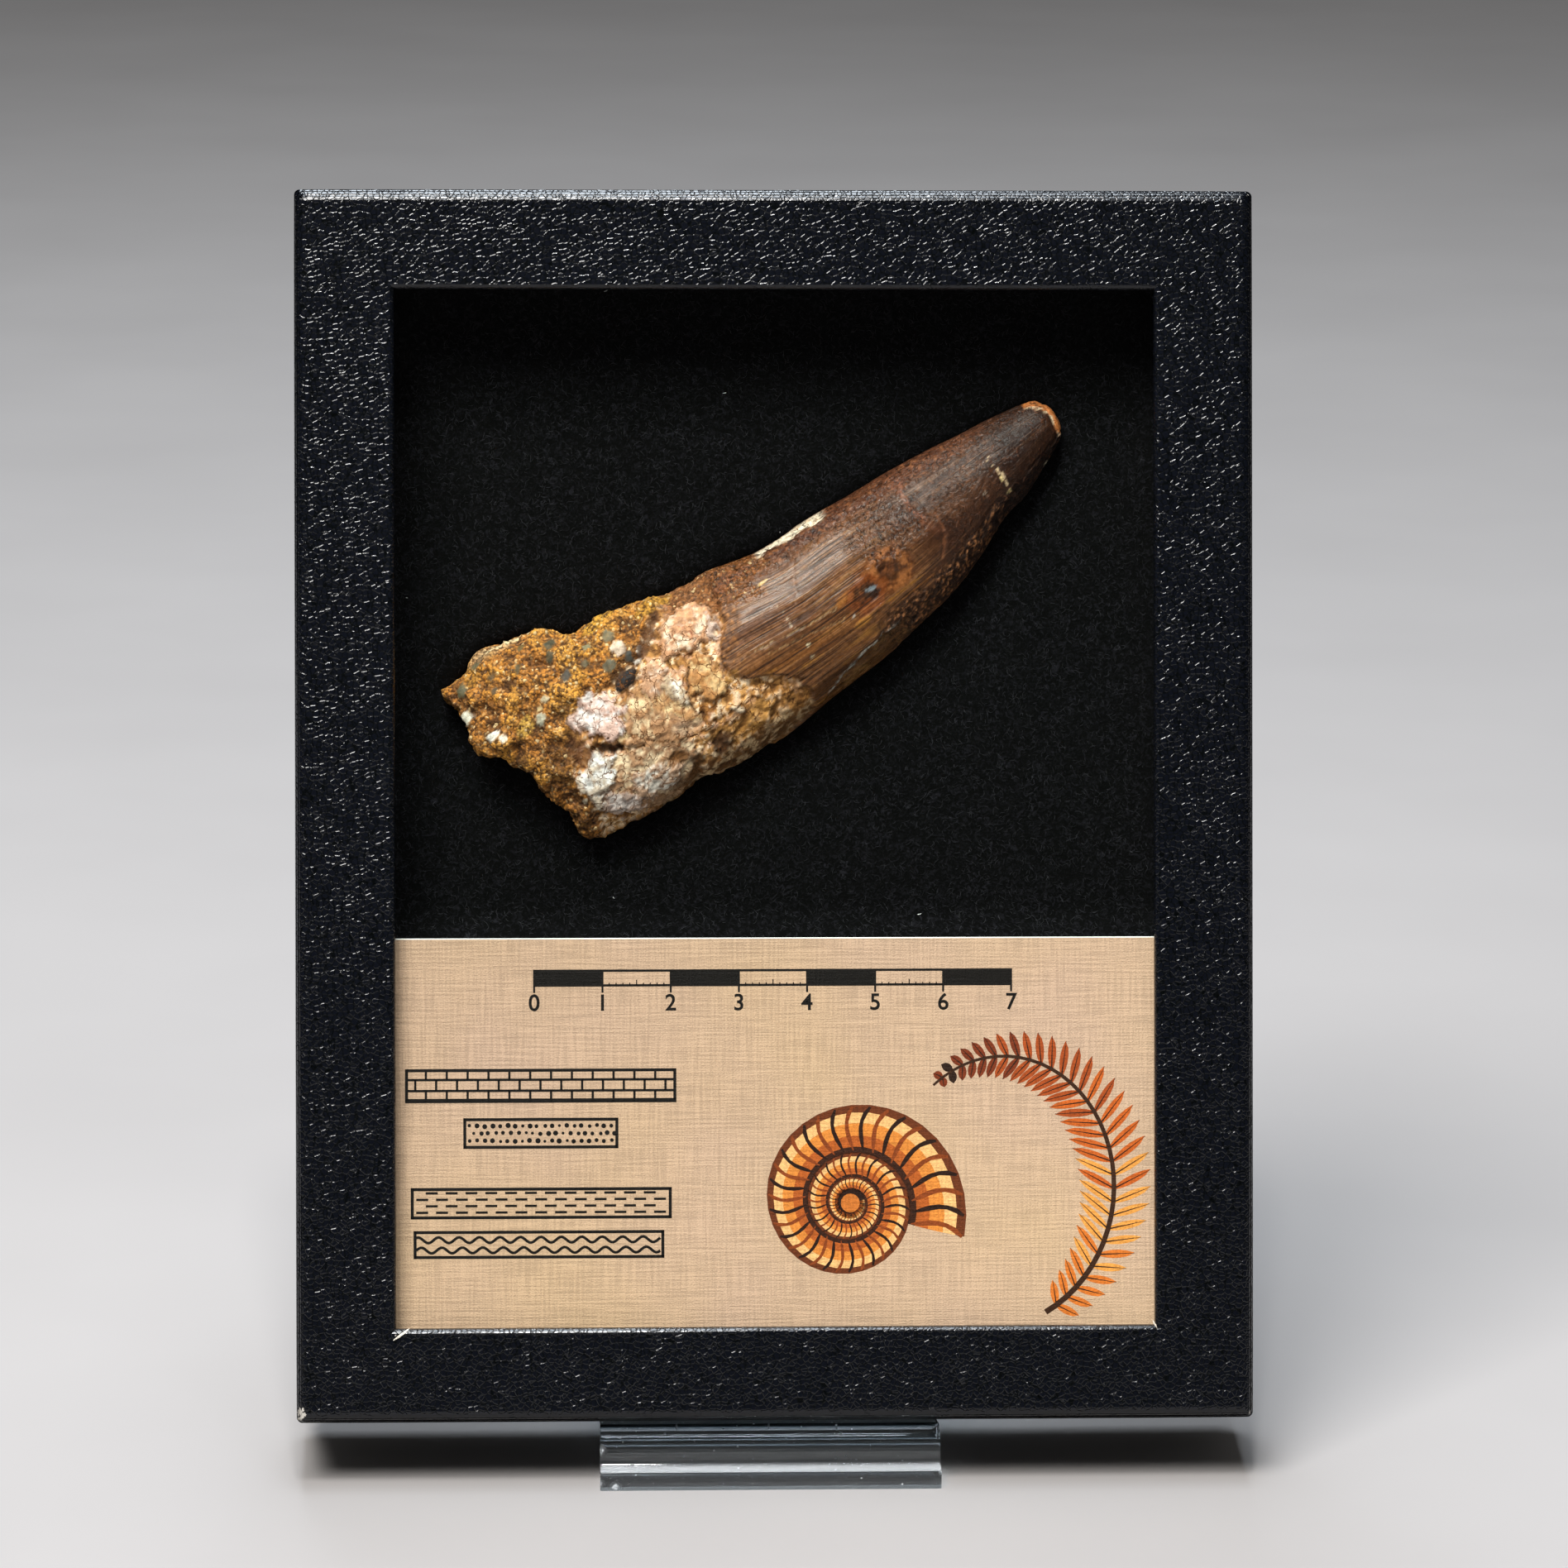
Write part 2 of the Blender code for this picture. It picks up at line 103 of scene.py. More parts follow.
def finish(piece, material, lean=True, angle=30):
    """Lean a piece with the case, settle its place in its mesh, and give it its finish and body."""
    if piece.mode == "EDIT":
        bpy.ops.mesh.select_all(action="SELECT")
        bpy.ops.mesh.normals_make_consistent(inside=False)
        bpy.ops.object.mode_set(mode="OBJECT")
    bpy.ops.object.select_all(action="DESELECT")
    piece.select_set(True)
    bpy.context.view_layer.objects.active = piece
    if lean:
        piece.matrix_world = LEANING @ piece.matrix_world
    bpy.ops.object.transform_apply(location=True, rotation=True, scale=True)
    bpy.ops.object.shade_smooth_by_angle(angle=math.radians(angle))
    piece.data.materials.clear()
    piece.data.materials.append(material)
    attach(piece, "root")


def linear(code):
    """The linear colour of an sRGB hex code."""
    parts = [int(code[i:i + 2], 16) / 255 for i in (1, 3, 5)]
    return [p / 12.92 if p <= 0.04045 else ((p + 0.055) / 1.055) ** 2.4 for p in parts] + [1.0]


def add_node(tree, kind, inputs=(), stops=(), **settings):
    """Add a node with its settings, set or link its inputs by name or in order, and give back its outputs."""
    made = tree.nodes.new("ShaderNode" + kind)
    for name, value in settings.items():
        setattr(made, name, value)
    for name, value in inputs.items() if isinstance(inputs, dict) else enumerate(inputs):
        if isinstance(value, bpy.types.NodeSocket):
            tree.links.new(value, made.inputs[name])
        else:
            made.inputs[name].default_value = linear(value) if isinstance(value, str) else value
    for place, (at, code) in enumerate(stops):
        points = made.color_ramp.elements
        point = points[place] if place < len(points) else points.new(at)
        point.position, point.color = at, linear(code)
    return made.outputs


def new_material(name):
    """An empty material and its node tree."""
    material = bpy.data.materials.new(name)
    material.use_nodes = True
    material.node_tree.nodes.clear()
    return material, material.node_tree


def millimetres(tree):
    """Object coordinates counted in millimetres."""
    place = add_node(tree, "TexCoord")["Object"]
    return add_node(tree, "VectorMath", {0: place, "Scale": 1 / MM}, operation="SCALE")[0]


def near(tree, place, spots):
    """A mask that is 1 at each spot, given in metres, and falls to 0 at its reach in millimetres."""
    mask = 0.0
    for spot, reach in spots:
        apart = add_node(tree, "VectorMath", (place, Vector(spot) / MM), operation="DISTANCE")["Value"]
        close = add_node(tree, "MapRange", (apart, reach, reach * 0.25))[0]
        mask = add_node(tree, "Math", (mask, close), operation="MAXIMUM")[0]
    return mask


# Leatherette paper: paper coated black and pressed with a pebble grain of about 0.7 mm. The lacquer is
# glossy, so the lips of the grooves between pebbles catch the lamps, and worn corners show pale paper.
PEBBLE, PEBBLE_DEPTH = 0.74, 0.038 * MM
WORN_CORNERS = (((-0.0700, 0.0, 0.0012), 2.6), ((0.0700, 0.0, 0.0006), 1.5), ((-0.0698, 0.0, 0.1797), 1.4),
                ((0.0698, 0.0, 0.1795), 1.7), ((-0.0555, 0.0004, 0.0128), 0.6))
leatherette, tree = new_material("black leatherette paper, pebble grain")
place = millimetres(tree)
sway = add_node(tree, "TexNoise", {"Vector": place, "Scale": 1.5, "Detail": 2.0})["Color"]
sway = add_node(tree, "VectorMath", (sway, (0.5, 0.5, 0.5)), operation="SUBTRACT")[0]
bent = add_node(tree, "VectorMath", (sway, (0.22, 0.22, 0.22), place), operation="MULTIPLY_ADD")[0]
edges = add_node(tree, "TexVoronoi", {"Vector": bent, "Scale": 1 / PEBBLE}, feature="DISTANCE_TO_EDGE")[0]
cells = add_node(tree, "TexVoronoi", {"Vector": bent, "Scale": 1 / PEBBLE})["Color"]
pebble = add_node(tree, "MapRange", (edges, 0.01, 0.15))["Result"]
lift = add_node(tree, "SeparateColor", {"Color": cells})["Red"]
small = add_node(tree, "TexNoise", {"Vector": place, "Scale": 2.6, "Detail": 2.0})["Fac"]
lift = add_node(tree, "MapRange", (lift, 0.0, 1.0, 0.3, 1.25))["Result"]
height = add_node(tree, "Math", (pebble, lift), operation="MULTIPLY")[0]
height = add_node(tree, "Math", (small, 0.12, height), operation="MULTIPLY_ADD")[0]
bump = add_node(tree, "Bump", {"Height": height, "Strength": 1.0, "Distance": PEBBLE_DEPTH})[0]
black = add_node(tree, "Mix", {0: pebble, 6: "#020303", 7: "#080A10"}, data_type="RGBA")[2]
fibres = add_node(tree, "TexNoise", {"Vector": place, "Scale": 1.7, "Detail": 4.0})["Fac"]
worn = near(tree, place, [(LEANING @ Vector(spot), reach) for spot, reach in WORN_CORNERS])
worn = add_node(tree, "Math", (worn, fibres), operation="MULTIPLY")[0]
worn = add_node(tree, "MapRange", (worn, 0.3, 0.36))["Result"]
colour = add_node(tree, "Mix", {0: worn, 6: black, 7: "#A9A49C"}, data_type="RGBA")[2]
gloss = add_node(tree, "MapRange", (fibres, 0.3, 0.7, 0.14, 0.22))["Result"]
rough = add_node(tree, "Math", (worn, 0.5, gloss), operation="MULTIPLY_ADD")[0]
shader = add_node(tree, "BsdfPrincipled", {"Base Color": colour, "Roughness": rough, "Normal": bump,
                                           "IOR": 1.5, "Specular IOR Level": 0.4})
add_node(tree, "OutputMaterial", {"Surface": shader[0]})

half, top = CASE_WIDTH / 2, CASE_HEIGHT
lid = block("case_lid", (-half, 0, 0), (half, LID_RIM, LID_HEAD))
edit(lid)
pick("FACE", lambda f: f.normal.y > 0.9)
bpy.ops.mesh.inset(thickness=BOARD)
bpy.ops.mesh.extrude_region_move(TRANSFORM_OT_translate={"value": (0, BOARD - LID_RIM, 0)})
bpy.ops.mesh.inset(thickness=WINDOW_BORDER - BOARD)
pick("FACE", lambda f: f.normal.y < -0.9)
bpy.ops.mesh.inset(thickness=WINDOW_BORDER)
window_x = half - WINDOW_BORDER
pick("VERT", lambda v: abs(abs(v.co.x) - window_x) < CLOSE and abs(v.co.z - WINDOW_BORDER) < CLOSE)
bpy.ops.transform.translate(value=(0, 0, WINDOW_FOOT - WINDOW_BORDER))
pick("FACE", lambda f: abs(f.normal.y) > 0.9 and all(abs(v.co.x) < window_x + CLOSE for v in f.verts))
bpy.ops.mesh.bridge_edge_loops()
pick("EDGE", lambda e: all(v.co.y < HAIR for v in e.verts) and (
    all(abs(v.co.x) > half - CLOSE for v in e.verts)
    or all(abs(v.co.z - LID_HEAD / 2) > LID_HEAD / 2 - CLOSE for v in e.verts)))
bpy.ops.mesh.bevel(offset=LID_EDGE_ROUND, segments=6, affect="EDGES")


def on_corner(v):
    """True for a point on the line where two rounded walls of the lid meet."""
    across, up = half - abs(v.co.x), LID_HEAD / 2 - abs(v.co.z - LID_HEAD / 2)
    return abs(across - up) < 0.02 * MM and across < LID_EDGE_ROUND + 0.02 * MM and v.co.y < LID_RIM + MM


pick("EDGE", lambda e: all(on_corner(v) for v in e.verts) and max(
    half - abs(v.co.x) for v in e.verts) < LID_EDGE_ROUND + HAIR and not all(
    abs(half - abs(v.co.x) - BOARD) < HAIR for v in e.verts))
bpy.ops.mesh.bevel(offset=LID_CORNER_ROUND, segments=4, affect="EDGES")
pick("EDGE", lambda e: all(v.co.y < HAIR and abs(v.co.x) < window_x + CLOSE for v in e.verts))
bpy.ops.mesh.bevel(offset=WINDOW_EDGE_ROUND, segments=5, affect="EDGES")
pick("EDGE", lambda e: all(v.co.y > LID_RIM - HAIR for v in e.verts) and len(e.link_faces) == 2 and any(
    abs(f.normal.y) < 0.3 and f.normal.dot(Vector((e.verts[0].co.x, 0, e.verts[0].co.z - top / 2))) > 0
    for f in e.link_faces))
bpy.ops.mesh.bevel(offset=0.5 * MM, segments=2, affect="EDGES")
slice_up(0, sorted({half * share * side for share in CUTS_ACROSS for side in (-1, 1)}))
slice_up(2, sorted({top / 2 * (1 + share * side) for share in CUTS_UP for side in (-1, 1)}))
slice_up(2, [FLAP_REACH, FLAP_REACH + 0.25 * MM, top - FLAP_REACH, top - FLAP_REACH - 0.25 * MM])
slice_up(1, [LID_RIM * s for s in (0.2, 0.4, 0.6, 0.8)])
bpy.ops.object.mode_set(mode="OBJECT")
for vertex in lid.data.vertices:
    x, y, z = vertex.co
    wave = WALL_WAVE * (noise.noise(Vector((x, y, z)) * 45) - 1) / 2
    share_x, share_z = min(1, abs(x) / (half - MM)), min(1, abs(z - top / 2) / (top / 2 - MM))
    flap = FLAP_STEP * (min(z, top - z) < FLAP_REACH + CLOSE and y > LID_EDGE_ROUND)
    if half - abs(x) < BOARD + CLOSE:
        outer = half - abs(x) < 0.9 * BOARD
        push = (WALL_BOW + wave + flap * outer) * (1 - share_z ** 8) * y / LID_RIM
        vertex.co.x += math.copysign(push, x)
    if LID_HEAD / 2 - abs(z - LID_HEAD / 2) < BOARD + CLOSE:
        push = (WALL_BOW + wave) * (1 - share_x ** 8) * y / LID_RIM
        vertex.co.z += math.copysign(push, z - top / 2)
    if y < HAIR:
        vertex.co.y += 0.12 * MM * (1 + noise.noise(Vector((x, 7, z)) * 30)) / 2
finish(lid, leatherette)
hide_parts("box_lid")

# The raw edge of the greyboard: slivers of pale paper that show where the leatherette was slit and
# turned in at the two lower corners of the window.
SLIVERS = (((-55.9, 12.1), (-53.6, 13.75), 0.45), ((55.2, 14.4), (55.75, 13.2), 0.26))
pale_board, tree = new_material("raw greyboard edge, torn paper")
place = millimetres(tree)
fibres = add_node(tree, "TexNoise", {"Vector": place, "Scale": 5.0, "Detail": 3.0})["Fac"]
colour = add_node(tree, "ValToRGB", {"Fac": fibres}, stops=((0.35, "#8F867A"), (0.6, "#E4DCCD")))[0]
bump = add_node(tree, "Bump", {"Height": fibres, "Strength": 0.6, "Distance": 0.05 * MM})[0]
shader = add_node(tree, "BsdfPrincipled", {"Base Color": colour, "Roughness": 0.85, "Normal": bump})
add_node(tree, "OutputMaterial", {"Surface": shader[0]})
bpy.ops.mesh.primitive_grid_add(x_subdivisions=8, y_subdivisions=3 * len(SLIVERS) - 1, size=1)
slivers = bpy.context.object
slivers.name = "window_slit_edges"
edit(slivers)
pick("FACE", lambda f: round((f.calc_center_median().y + 0.5) * (3 * len(SLIVERS) - 1) - 0.5) % 3 == 2)
bpy.ops.mesh.delete(type="FACE")
bpy.ops.object.mode_set(mode="OBJECT")
rounding = WINDOW_EDGE_ROUND / MM
for vertex in slivers.data.vertices:
    row = round((vertex.co.y + 0.5) * (3 * len(SLIVERS) - 1))
    (x0, z0), (x1, z1), width = SLIVERS[row // 3]
    along, side = vertex.co.x + 0.5, row % 3 - 1
    way = Vector((x1 - x0, z1 - z0)).normalized()
    ragged = 0.75 + 0.25 * noise.noise(Vector((along * 9, row, 0)))
    spread = side * width / 2 * ragged * math.sin(math.pi * min(0.97, max(0.03, along))) ** 0.6
    x, z = x0 + (x1 - x0) * along - way.y * spread, z0 + (z1 - z0) * along + way.x * spread
    into = max(0.0, min(rounding, z - WINDOW_FOOT / MM + rounding)) if abs(x) < window_x / MM else 0.0
    depth = rounding - math.sqrt(rounding ** 2 - into ** 2)
    vertex.co = Vector((x, depth - 0.05 - 0.03 * (side == 0), z)) * MM
edit(slivers)
finish(slivers, pale_board)

# The pane: 1.8 mm window glass, dropped into the lid and held by the tray. It keeps the CAD's shape.
# It is thin and flat enough to show what is behind it unbent, and a few specks of dust sit on it.
glass, tree = new_material("thin float glass, lightly dusty")
place = millimetres(tree)
dust = add_node(tree, "TexVoronoi", {"Vector": place, "Scale": 0.07})["Distance"]
dust = add_node(tree, "MapRange", (dust, 0.016, 0.008, 0.0, 0.5))["Result"]
smear = add_node(tree, "TexNoise", {"Vector": place, "Scale": 0.03, "Detail": 3.0})["Fac"]
smear = add_node(tree, "MapRange", (smear, 0.5, 0.8, 0.0, 0.04))["Result"]
rough = add_node(tree, "Math", (dust, smear), operation="MAXIMUM")[0]
clear = add_node(tree, "BsdfTransparent", {"Color": "#F9FBFA"})
polish = add_node(tree, "BsdfGlossy", {"Color": "#FFFFFF", "Roughness": rough})
share = add_node(tree, "Fresnel", {"IOR": 1.52})[0]
front = add_node(tree, "Math", (1.0, add_node(tree, "NewGeometry")["Backfacing"]), operation="SUBTRACT")[0]
share = add_node(tree, "Math", (share, front), operation="MULTIPLY")[0]
shader = add_node(tree, "MixShader", (share, clear[0], polish[0]))
add_node(tree, "OutputMaterial", {"Surface": shader[0]})
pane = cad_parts["window_pane"]
pane.data.materials.clear()
pane.data.materials.append(glass)

# The tray: a board box covered in smooth black paper that slips into the lid from behind and presses
# the pad, the card and the pane forward. Its paper is turned over the rims and glued inside.
TRAY_INSET, TRAY_FRONT, TRAY_CORNER = 1.9 * MM, 4.0 * MM, 0.6 * MM
tray_paper, tree = new_material("black lining paper, uncoated")
place = millimetres(tree)
fibres = add_node(tree, "TexNoise", {"Vector": place, "Scale": 3.0, "Detail": 6.0, "Roughness": 0.6})["Fac"]
streaks = add_node(tree, "Mapping", {"Vector": place, "Rotation": (0.0, 0.5, 0.3),
                                     "Scale": (0.15, 0.15, 0.02)})[0]
scuffs = add_node(tree, "TexNoise", {"Vector": streaks, "Scale": 4.0, "Detail": 5.0, "Distortion": 1.2})[0]
scuffs = add_node(tree, "MapRange", (scuffs, 0.6, 0.72, 0.0, 0.5))["Result"]
colour = add_node(tree, "ValToRGB", {"Fac": fibres}, stops=((0.35, "#0F0F11"), (0.7, "#1C1C1F")))[0]
colour = add_node(tree, "Mix", {0: scuffs, 6: colour, 7: "#3A393A"}, data_type="RGBA")[2]
bump = add_node(tree, "Bump", {"Height": fibres, "Strength": 0.5, "Distance": 0.04 * MM})[0]
shader = add_node(tree, "BsdfPrincipled", {"Base Color": colour, "Roughness": 0.72, "Normal": bump})
add_node(tree, "OutputMaterial", {"Surface": shader[0]})
tray_half = half - TRAY_INSET
tray = block("case_tray", (-tray_half, TRAY_FRONT, TRAY_INSET), (tray_half, CASE_DEPTH, top - TRAY_INSET))
edit(tray)
pick("FACE", lambda f: f.normal.y < -0.9)
bpy.ops.mesh.inset(thickness=BOARD)
bpy.ops.mesh.extrude_region_move(TRANSFORM_OT_translate={"value": (0, CASE_DEPTH - BOARD - TRAY_FRONT, 0)})
pick("EDGE", lambda e: abs(e.verts[0].co.y - e.verts[1].co.y) > 0.01 and all(
    abs(v.co.x) > tray_half - CLOSE and abs(v.co.z - top / 2) > top / 2 - 2 * TRAY_INSET for v in e.verts))
bpy.ops.mesh.bevel(offset=TRAY_CORNER, segments=3, affect="EDGES")
pick("EDGE", lambda e: all(v.co.y > CASE_DEPTH - HAIR for v in e.verts))
bpy.ops.mesh.bevel(offset=0.45 * MM, segments=3, affect="EDGES")
slice_up(0, [tray_half * s / 8 for s in range(-7, 8)])
slice_up(2, [top * s / 20 for s in range(1, 20)])
bpy.ops.object.mode_set(mode="OBJECT")
for vertex in tray.data.vertices:
    x, y, z = vertex.co
    if y > CASE_DEPTH - BOARD / 2:
        vertex.co.y -= 0.25 * MM * (1 + noise.noise(Vector((x * 25, 3, z * 25)))) / 2
finish(tray, tray_paper)
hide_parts("box_tray")

# The pad: a block of foam covered in black craft felt. Its flat face is pressed in round the tooth, and
# below the tooth it swells forward and holds the card to the pane. It is soft and only laid in the tray.
PAD_INSET, PAD_BACK, FELT_FACE = 3.8 * MM, 25.1 * MM, 15 * MM
SWELL_FACE, SWELL_TOP, SWELL_FOOT = 4.75 * MM, 60 * MM, 75 * MM
PRESSED_ROUND, PRESSED_UNDER, FELT_LOOSE, PAD_EDGE_ROLL = 0.9, 8.4, 0.25, 1.2 * MM
FELT_COLUMNS, FELT_ROWS = 148, 190
TOOTH_MIDDLE, TOOTH_RISE = Vector((2.0, 14.4, 116.0)) * MM, math.radians(31)
PRESSED_OUTLINE = (
    (50.6, 6.2), (49.9, 8.8), (48.4, 10.1), (42.3, 11.0), (31.4, 11.8), (18.1, 12.2), (5.3, 12.0),
    (-5.8, 13.3), (-11.7, 13.7), (-18.5, 15.2), (-27.0, 15.8), (-29.5, 17.6), (-34.5, 20.1), (-39.3, 20.8),
    (-42.7, 20.2), (-45.9, 19.2), (-48.9, 17.8), (-48.4, 11.0), (-46.0, 7.5), (-42.0, 4.0), (-39.6, -2.0),
    (-39.5, -10.2), (-35.4, -13.4), (-25.3, -14.0), (-11.3, -14.1), (0.4, -12.6), (11.1, -11.4), (17.8, -9.9),
    (24.5, -8.3), (30.7, -5.8), (36.3, -2.9), (40.9, -1.6), (47.2, 1.6), (49.5, 2.9))
felt, tree = new_material("black craft felt")
place = millimetres(tree)
clumps = add_node(tree, "TexNoise", {"Vector": place, "Scale": 0.35, "Detail": 4.0})["Fac"]
fibres = add_node(tree, "TexNoise", {"Vector": place, "Scale": 1.3, "Detail": 5.0, "Roughness": 0.75,
                                     "Distortion": 1.2})["Fac"]
colour = add_node(tree, "ValToRGB", {"Fac": fibres}, stops=((0.49, "#010101"), (0.66, "#242328")))[0]
colour = add_node(tree, "Mix", {0: clumps, 6: "#050505", 7: colour}, data_type="RGBA")[2]
bump = add_node(tree, "Bump", {"Height": fibres, "Strength": 0.9, "Distance": 0.25 * MM})[0]
shader = add_node(tree, "BsdfPrincipled", {"Base Color": colour, "Roughness": 0.95, "Normal": bump,
                                           "Specular IOR Level": 0.08})
add_node(tree, "OutputMaterial", {"Surface": shader[0]})


def step(low, high, value):
    """Ease from 0 at low to 1 at high."""
    share = np.clip((value - low) / (high - low), 0, 1)
    return share * share * (3 - 2 * share)


def off_line(along, across, points):
    """Distance from each place to a line through points."""
    gap = np.full(len(along), 1e9)
    for (a0, b0), (a1, b1) in zip(points, points[1:]):
        run = (a1 - a0) ** 2 + (b1 - b0) ** 2
        share = np.clip(((along - a0) * (a1 - a0) + (across - b0) * (b1 - b0)) / run, 0, 1)
        gap = np.minimum(gap, np.hypot(along - a0 - share * (a1 - a0), across - b0 - share * (b1 - b0)))
    return gap


def inside(along, across, points):
    """Distance in from a closed outline, negative outside it."""
    within = np.zeros(len(along), bool)
    for (a0, b0), (a1, b1) in zip(points, points[1:] + points[:1]):
        crosses = (b0 > across) != (b1 > across)
        within ^= crosses & (along < (a1 - a0) * (across - b0) / (b1 - b0 + 1e-12) + a0)
    gap = off_line(along, across, list(points) + [points[0]])
    return np.where(within, gap, -gap)


def felt_depth(x, z):
    """Depth of the felt's face in millimetres: flat, swelling forward low down, pressed by the tooth."""
    dx, dz = x - TOOTH_MIDDLE.x / MM, z - TOOTH_MIDDLE.z / MM
    along = dx * math.cos(TOOTH_RISE) + dz * math.sin(TOOTH_RISE)
    across = dz * math.cos(TOOTH_RISE) - dx * math.sin(TOOTH_RISE)
    within = inside(along, across, PRESSED_OUTLINE)
    pressed = PRESSED_ROUND * np.exp(-np.clip(-within, 0, 20) / 2.2)
    pressed += PRESSED_UNDER * step(-0.5, 4.5, within) * step(-3, 3, within)
    swell = step(SWELL_FOOT / MM, SWELL_TOP / MM, z)
    loose = np.array([noise.noise(Vector((a * 0.05, 2.0, b * 0.05))) for a, b in zip(x, z)])
    face = (FELT_FACE + (SWELL_FACE - FELT_FACE) * swell) / MM
    return face + (pressed + FELT_LOOSE * (loose + 1)) * (1 - swell)


pad_half = half - PAD_INSET
pad = block("felt_covered_pad", (-pad_half, 0, PAD_INSET), (pad_half, PAD_BACK, top - PAD_INSET))
edit(pad)
slice_up(0, np.linspace(-pad_half, pad_half, FELT_COLUMNS)[1:-1])
slice_up(2, np.linspace(PAD_INSET, top - PAD_INSET, FELT_ROWS)[1:-1])
pick("FACE", lambda f: f.normal.y < -0.9)
bpy.ops.mesh.extrude_region_move(TRANSFORM_OT_translate={"value": (0, -1 * MM, 0)})
bpy.ops.object.mode_set(mode="OBJECT")
spots = np.empty(len(pad.data.vertices) * 3)
pad.data.vertices.foreach_get("co", spots)
spots = spots.reshape(-1, 3)
face = felt_depth(spots[:, 0] / MM, spots[:, 2] / MM) * MM
rim = np.minimum(pad_half - np.abs(spots[:, 0]), top / 2 - PAD_INSET - np.abs(spots[:, 2] - top / 2))
rolled = PAD_EDGE_ROLL * step(1.6 * MM, 0.0, rim)
is_face, is_side = spots[:, 1] < -0.5 * MM, np.abs(spots[:, 1]) < 0.5 * MM
spots[:, 1] = np.where(is_face, face + rolled, np.where(is_side, face + 3 * MM, spots[:, 1]))
pad.data.vertices.foreach_set("co", spots.ravel())
pad.data.update()
finish(pad, felt, angle=60)
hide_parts("felt_pad")

# The felt's nap: loose fibres that stand out of the felt, and a little pale lint caught on it.
FIBRES, LINT, FIBRE_POINTS = 13000, 8, 5
FELT_SHOWS_ACROSS, FELT_SHOWS_UP = (-55.8, 55.8), (69.5, 166.2)
FIBRE_PROUD, FIBRE_ARCH = 0.04, 0.3
nap_paint, tree = new_material("loose black felt fibres")
place = millimetres(tree)
tones = add_node(tree, "TexNoise", {"Vector": place, "Scale": 0.8, "Detail": 1.0})["Fac"]
colour = add_node(tree, "ValToRGB", {"Fac": tones}, stops=((0.35, "#08080A"), (0.65, "#2B2A2F")))[0]
shader = add_node(tree, "BsdfPrincipled", {"Base Color": colour, "Roughness": 0.7, "Specular IOR Level": 0.3})
add_node(tree, "OutputMaterial", {"Surface": shader[0]})
lint_paint, tree = new_material("pale cotton lint")
place = millimetres(tree)
tones = add_node(tree, "TexNoise", {"Vector": place, "Scale": 6.0, "Detail": 1.0})["Fac"]
colour = add_node(tree, "ValToRGB", {"Fac": tones}, stops=((0.35, "#A9A9AC"), (0.65, "#F0EFEC")))[0]
shader = add_node(tree, "BsdfPrincipled", {"Base Color": colour, "Roughness": 0.8})
add_node(tree, "OutputMaterial", {"Surface": shader[0]})


def lay_fibres(name, count, length, width, curl, material, seed):
    """Strew short curved fibres over the felt that shows, as narrow strips lying almost flat."""
    draw = random.Random(seed)
    bits = FIBRE_POINTS - 1
    verts, faces = [], []
    for _ in range(count):
        x, z = draw.uniform(*FELT_SHOWS_ACROSS), draw.uniform(*FELT_SHOWS_UP)
        way, long = draw.uniform(0, 2 * math.pi), draw.uniform(*length)
        bend, wide, lift = draw.uniform(-curl, curl), draw.uniform(*width), draw.random()
        base = len(verts)
        for k in range(FIBRE_POINTS):
            share = k / bits
            side = Vector((-math.sin(way), math.cos(way))) * wide / 2 * (1 - 0.7 * abs(2 * share - 1) ** 3)
            arch = lift * math.sin(math.pi * share)
            verts += [(x - side.x, arch, z - side.y), (x + side.x, arch, z + side.y)]
            x, z = x + math.cos(way) * long / bits, z + math.sin(way) * long / bits
            way += bend / bits
        faces += [(k, k + 1, k + 3, k + 2) for k in range(base, base + 2 * bits, 2)]
    verts = np.array(verts)
    verts[:, 1] = felt_depth(verts[:, 0], verts[:, 2]) - FIBRE_PROUD - FIBRE_ARCH * verts[:, 1]
    mesh = bpy.data.meshes.new(name)
    mesh.from_pydata((verts * MM).tolist(), [], faces)
    piece = bpy.data.objects.new(name, mesh)
    bpy.context.collection.objects.link(piece)
    finish(piece, material)


lay_fibres("felt_nap", FIBRES, (0.4, 1.2), (0.03, 0.045), 2.0, nap_paint, 5)
lay_fibres("felt_lint", LINT, (0.25, 0.7), (0.05, 0.09), 3.0, lint_paint, 11)

# The card: a slip of tan card pressed with a linen weave, guillotined to size, held behind the pane by
# the felt. Its upper cut edge shows white, and painted shade makes its ground a little darker at the upper
# left.
CARD_HALF, CARD_FOOT, CARD_HEAD = 59 * MM, 9 * MM, 70.5 * MM
CARD_FRONT, CARD_THICK = 4.0 * MM, 0.4 * MM


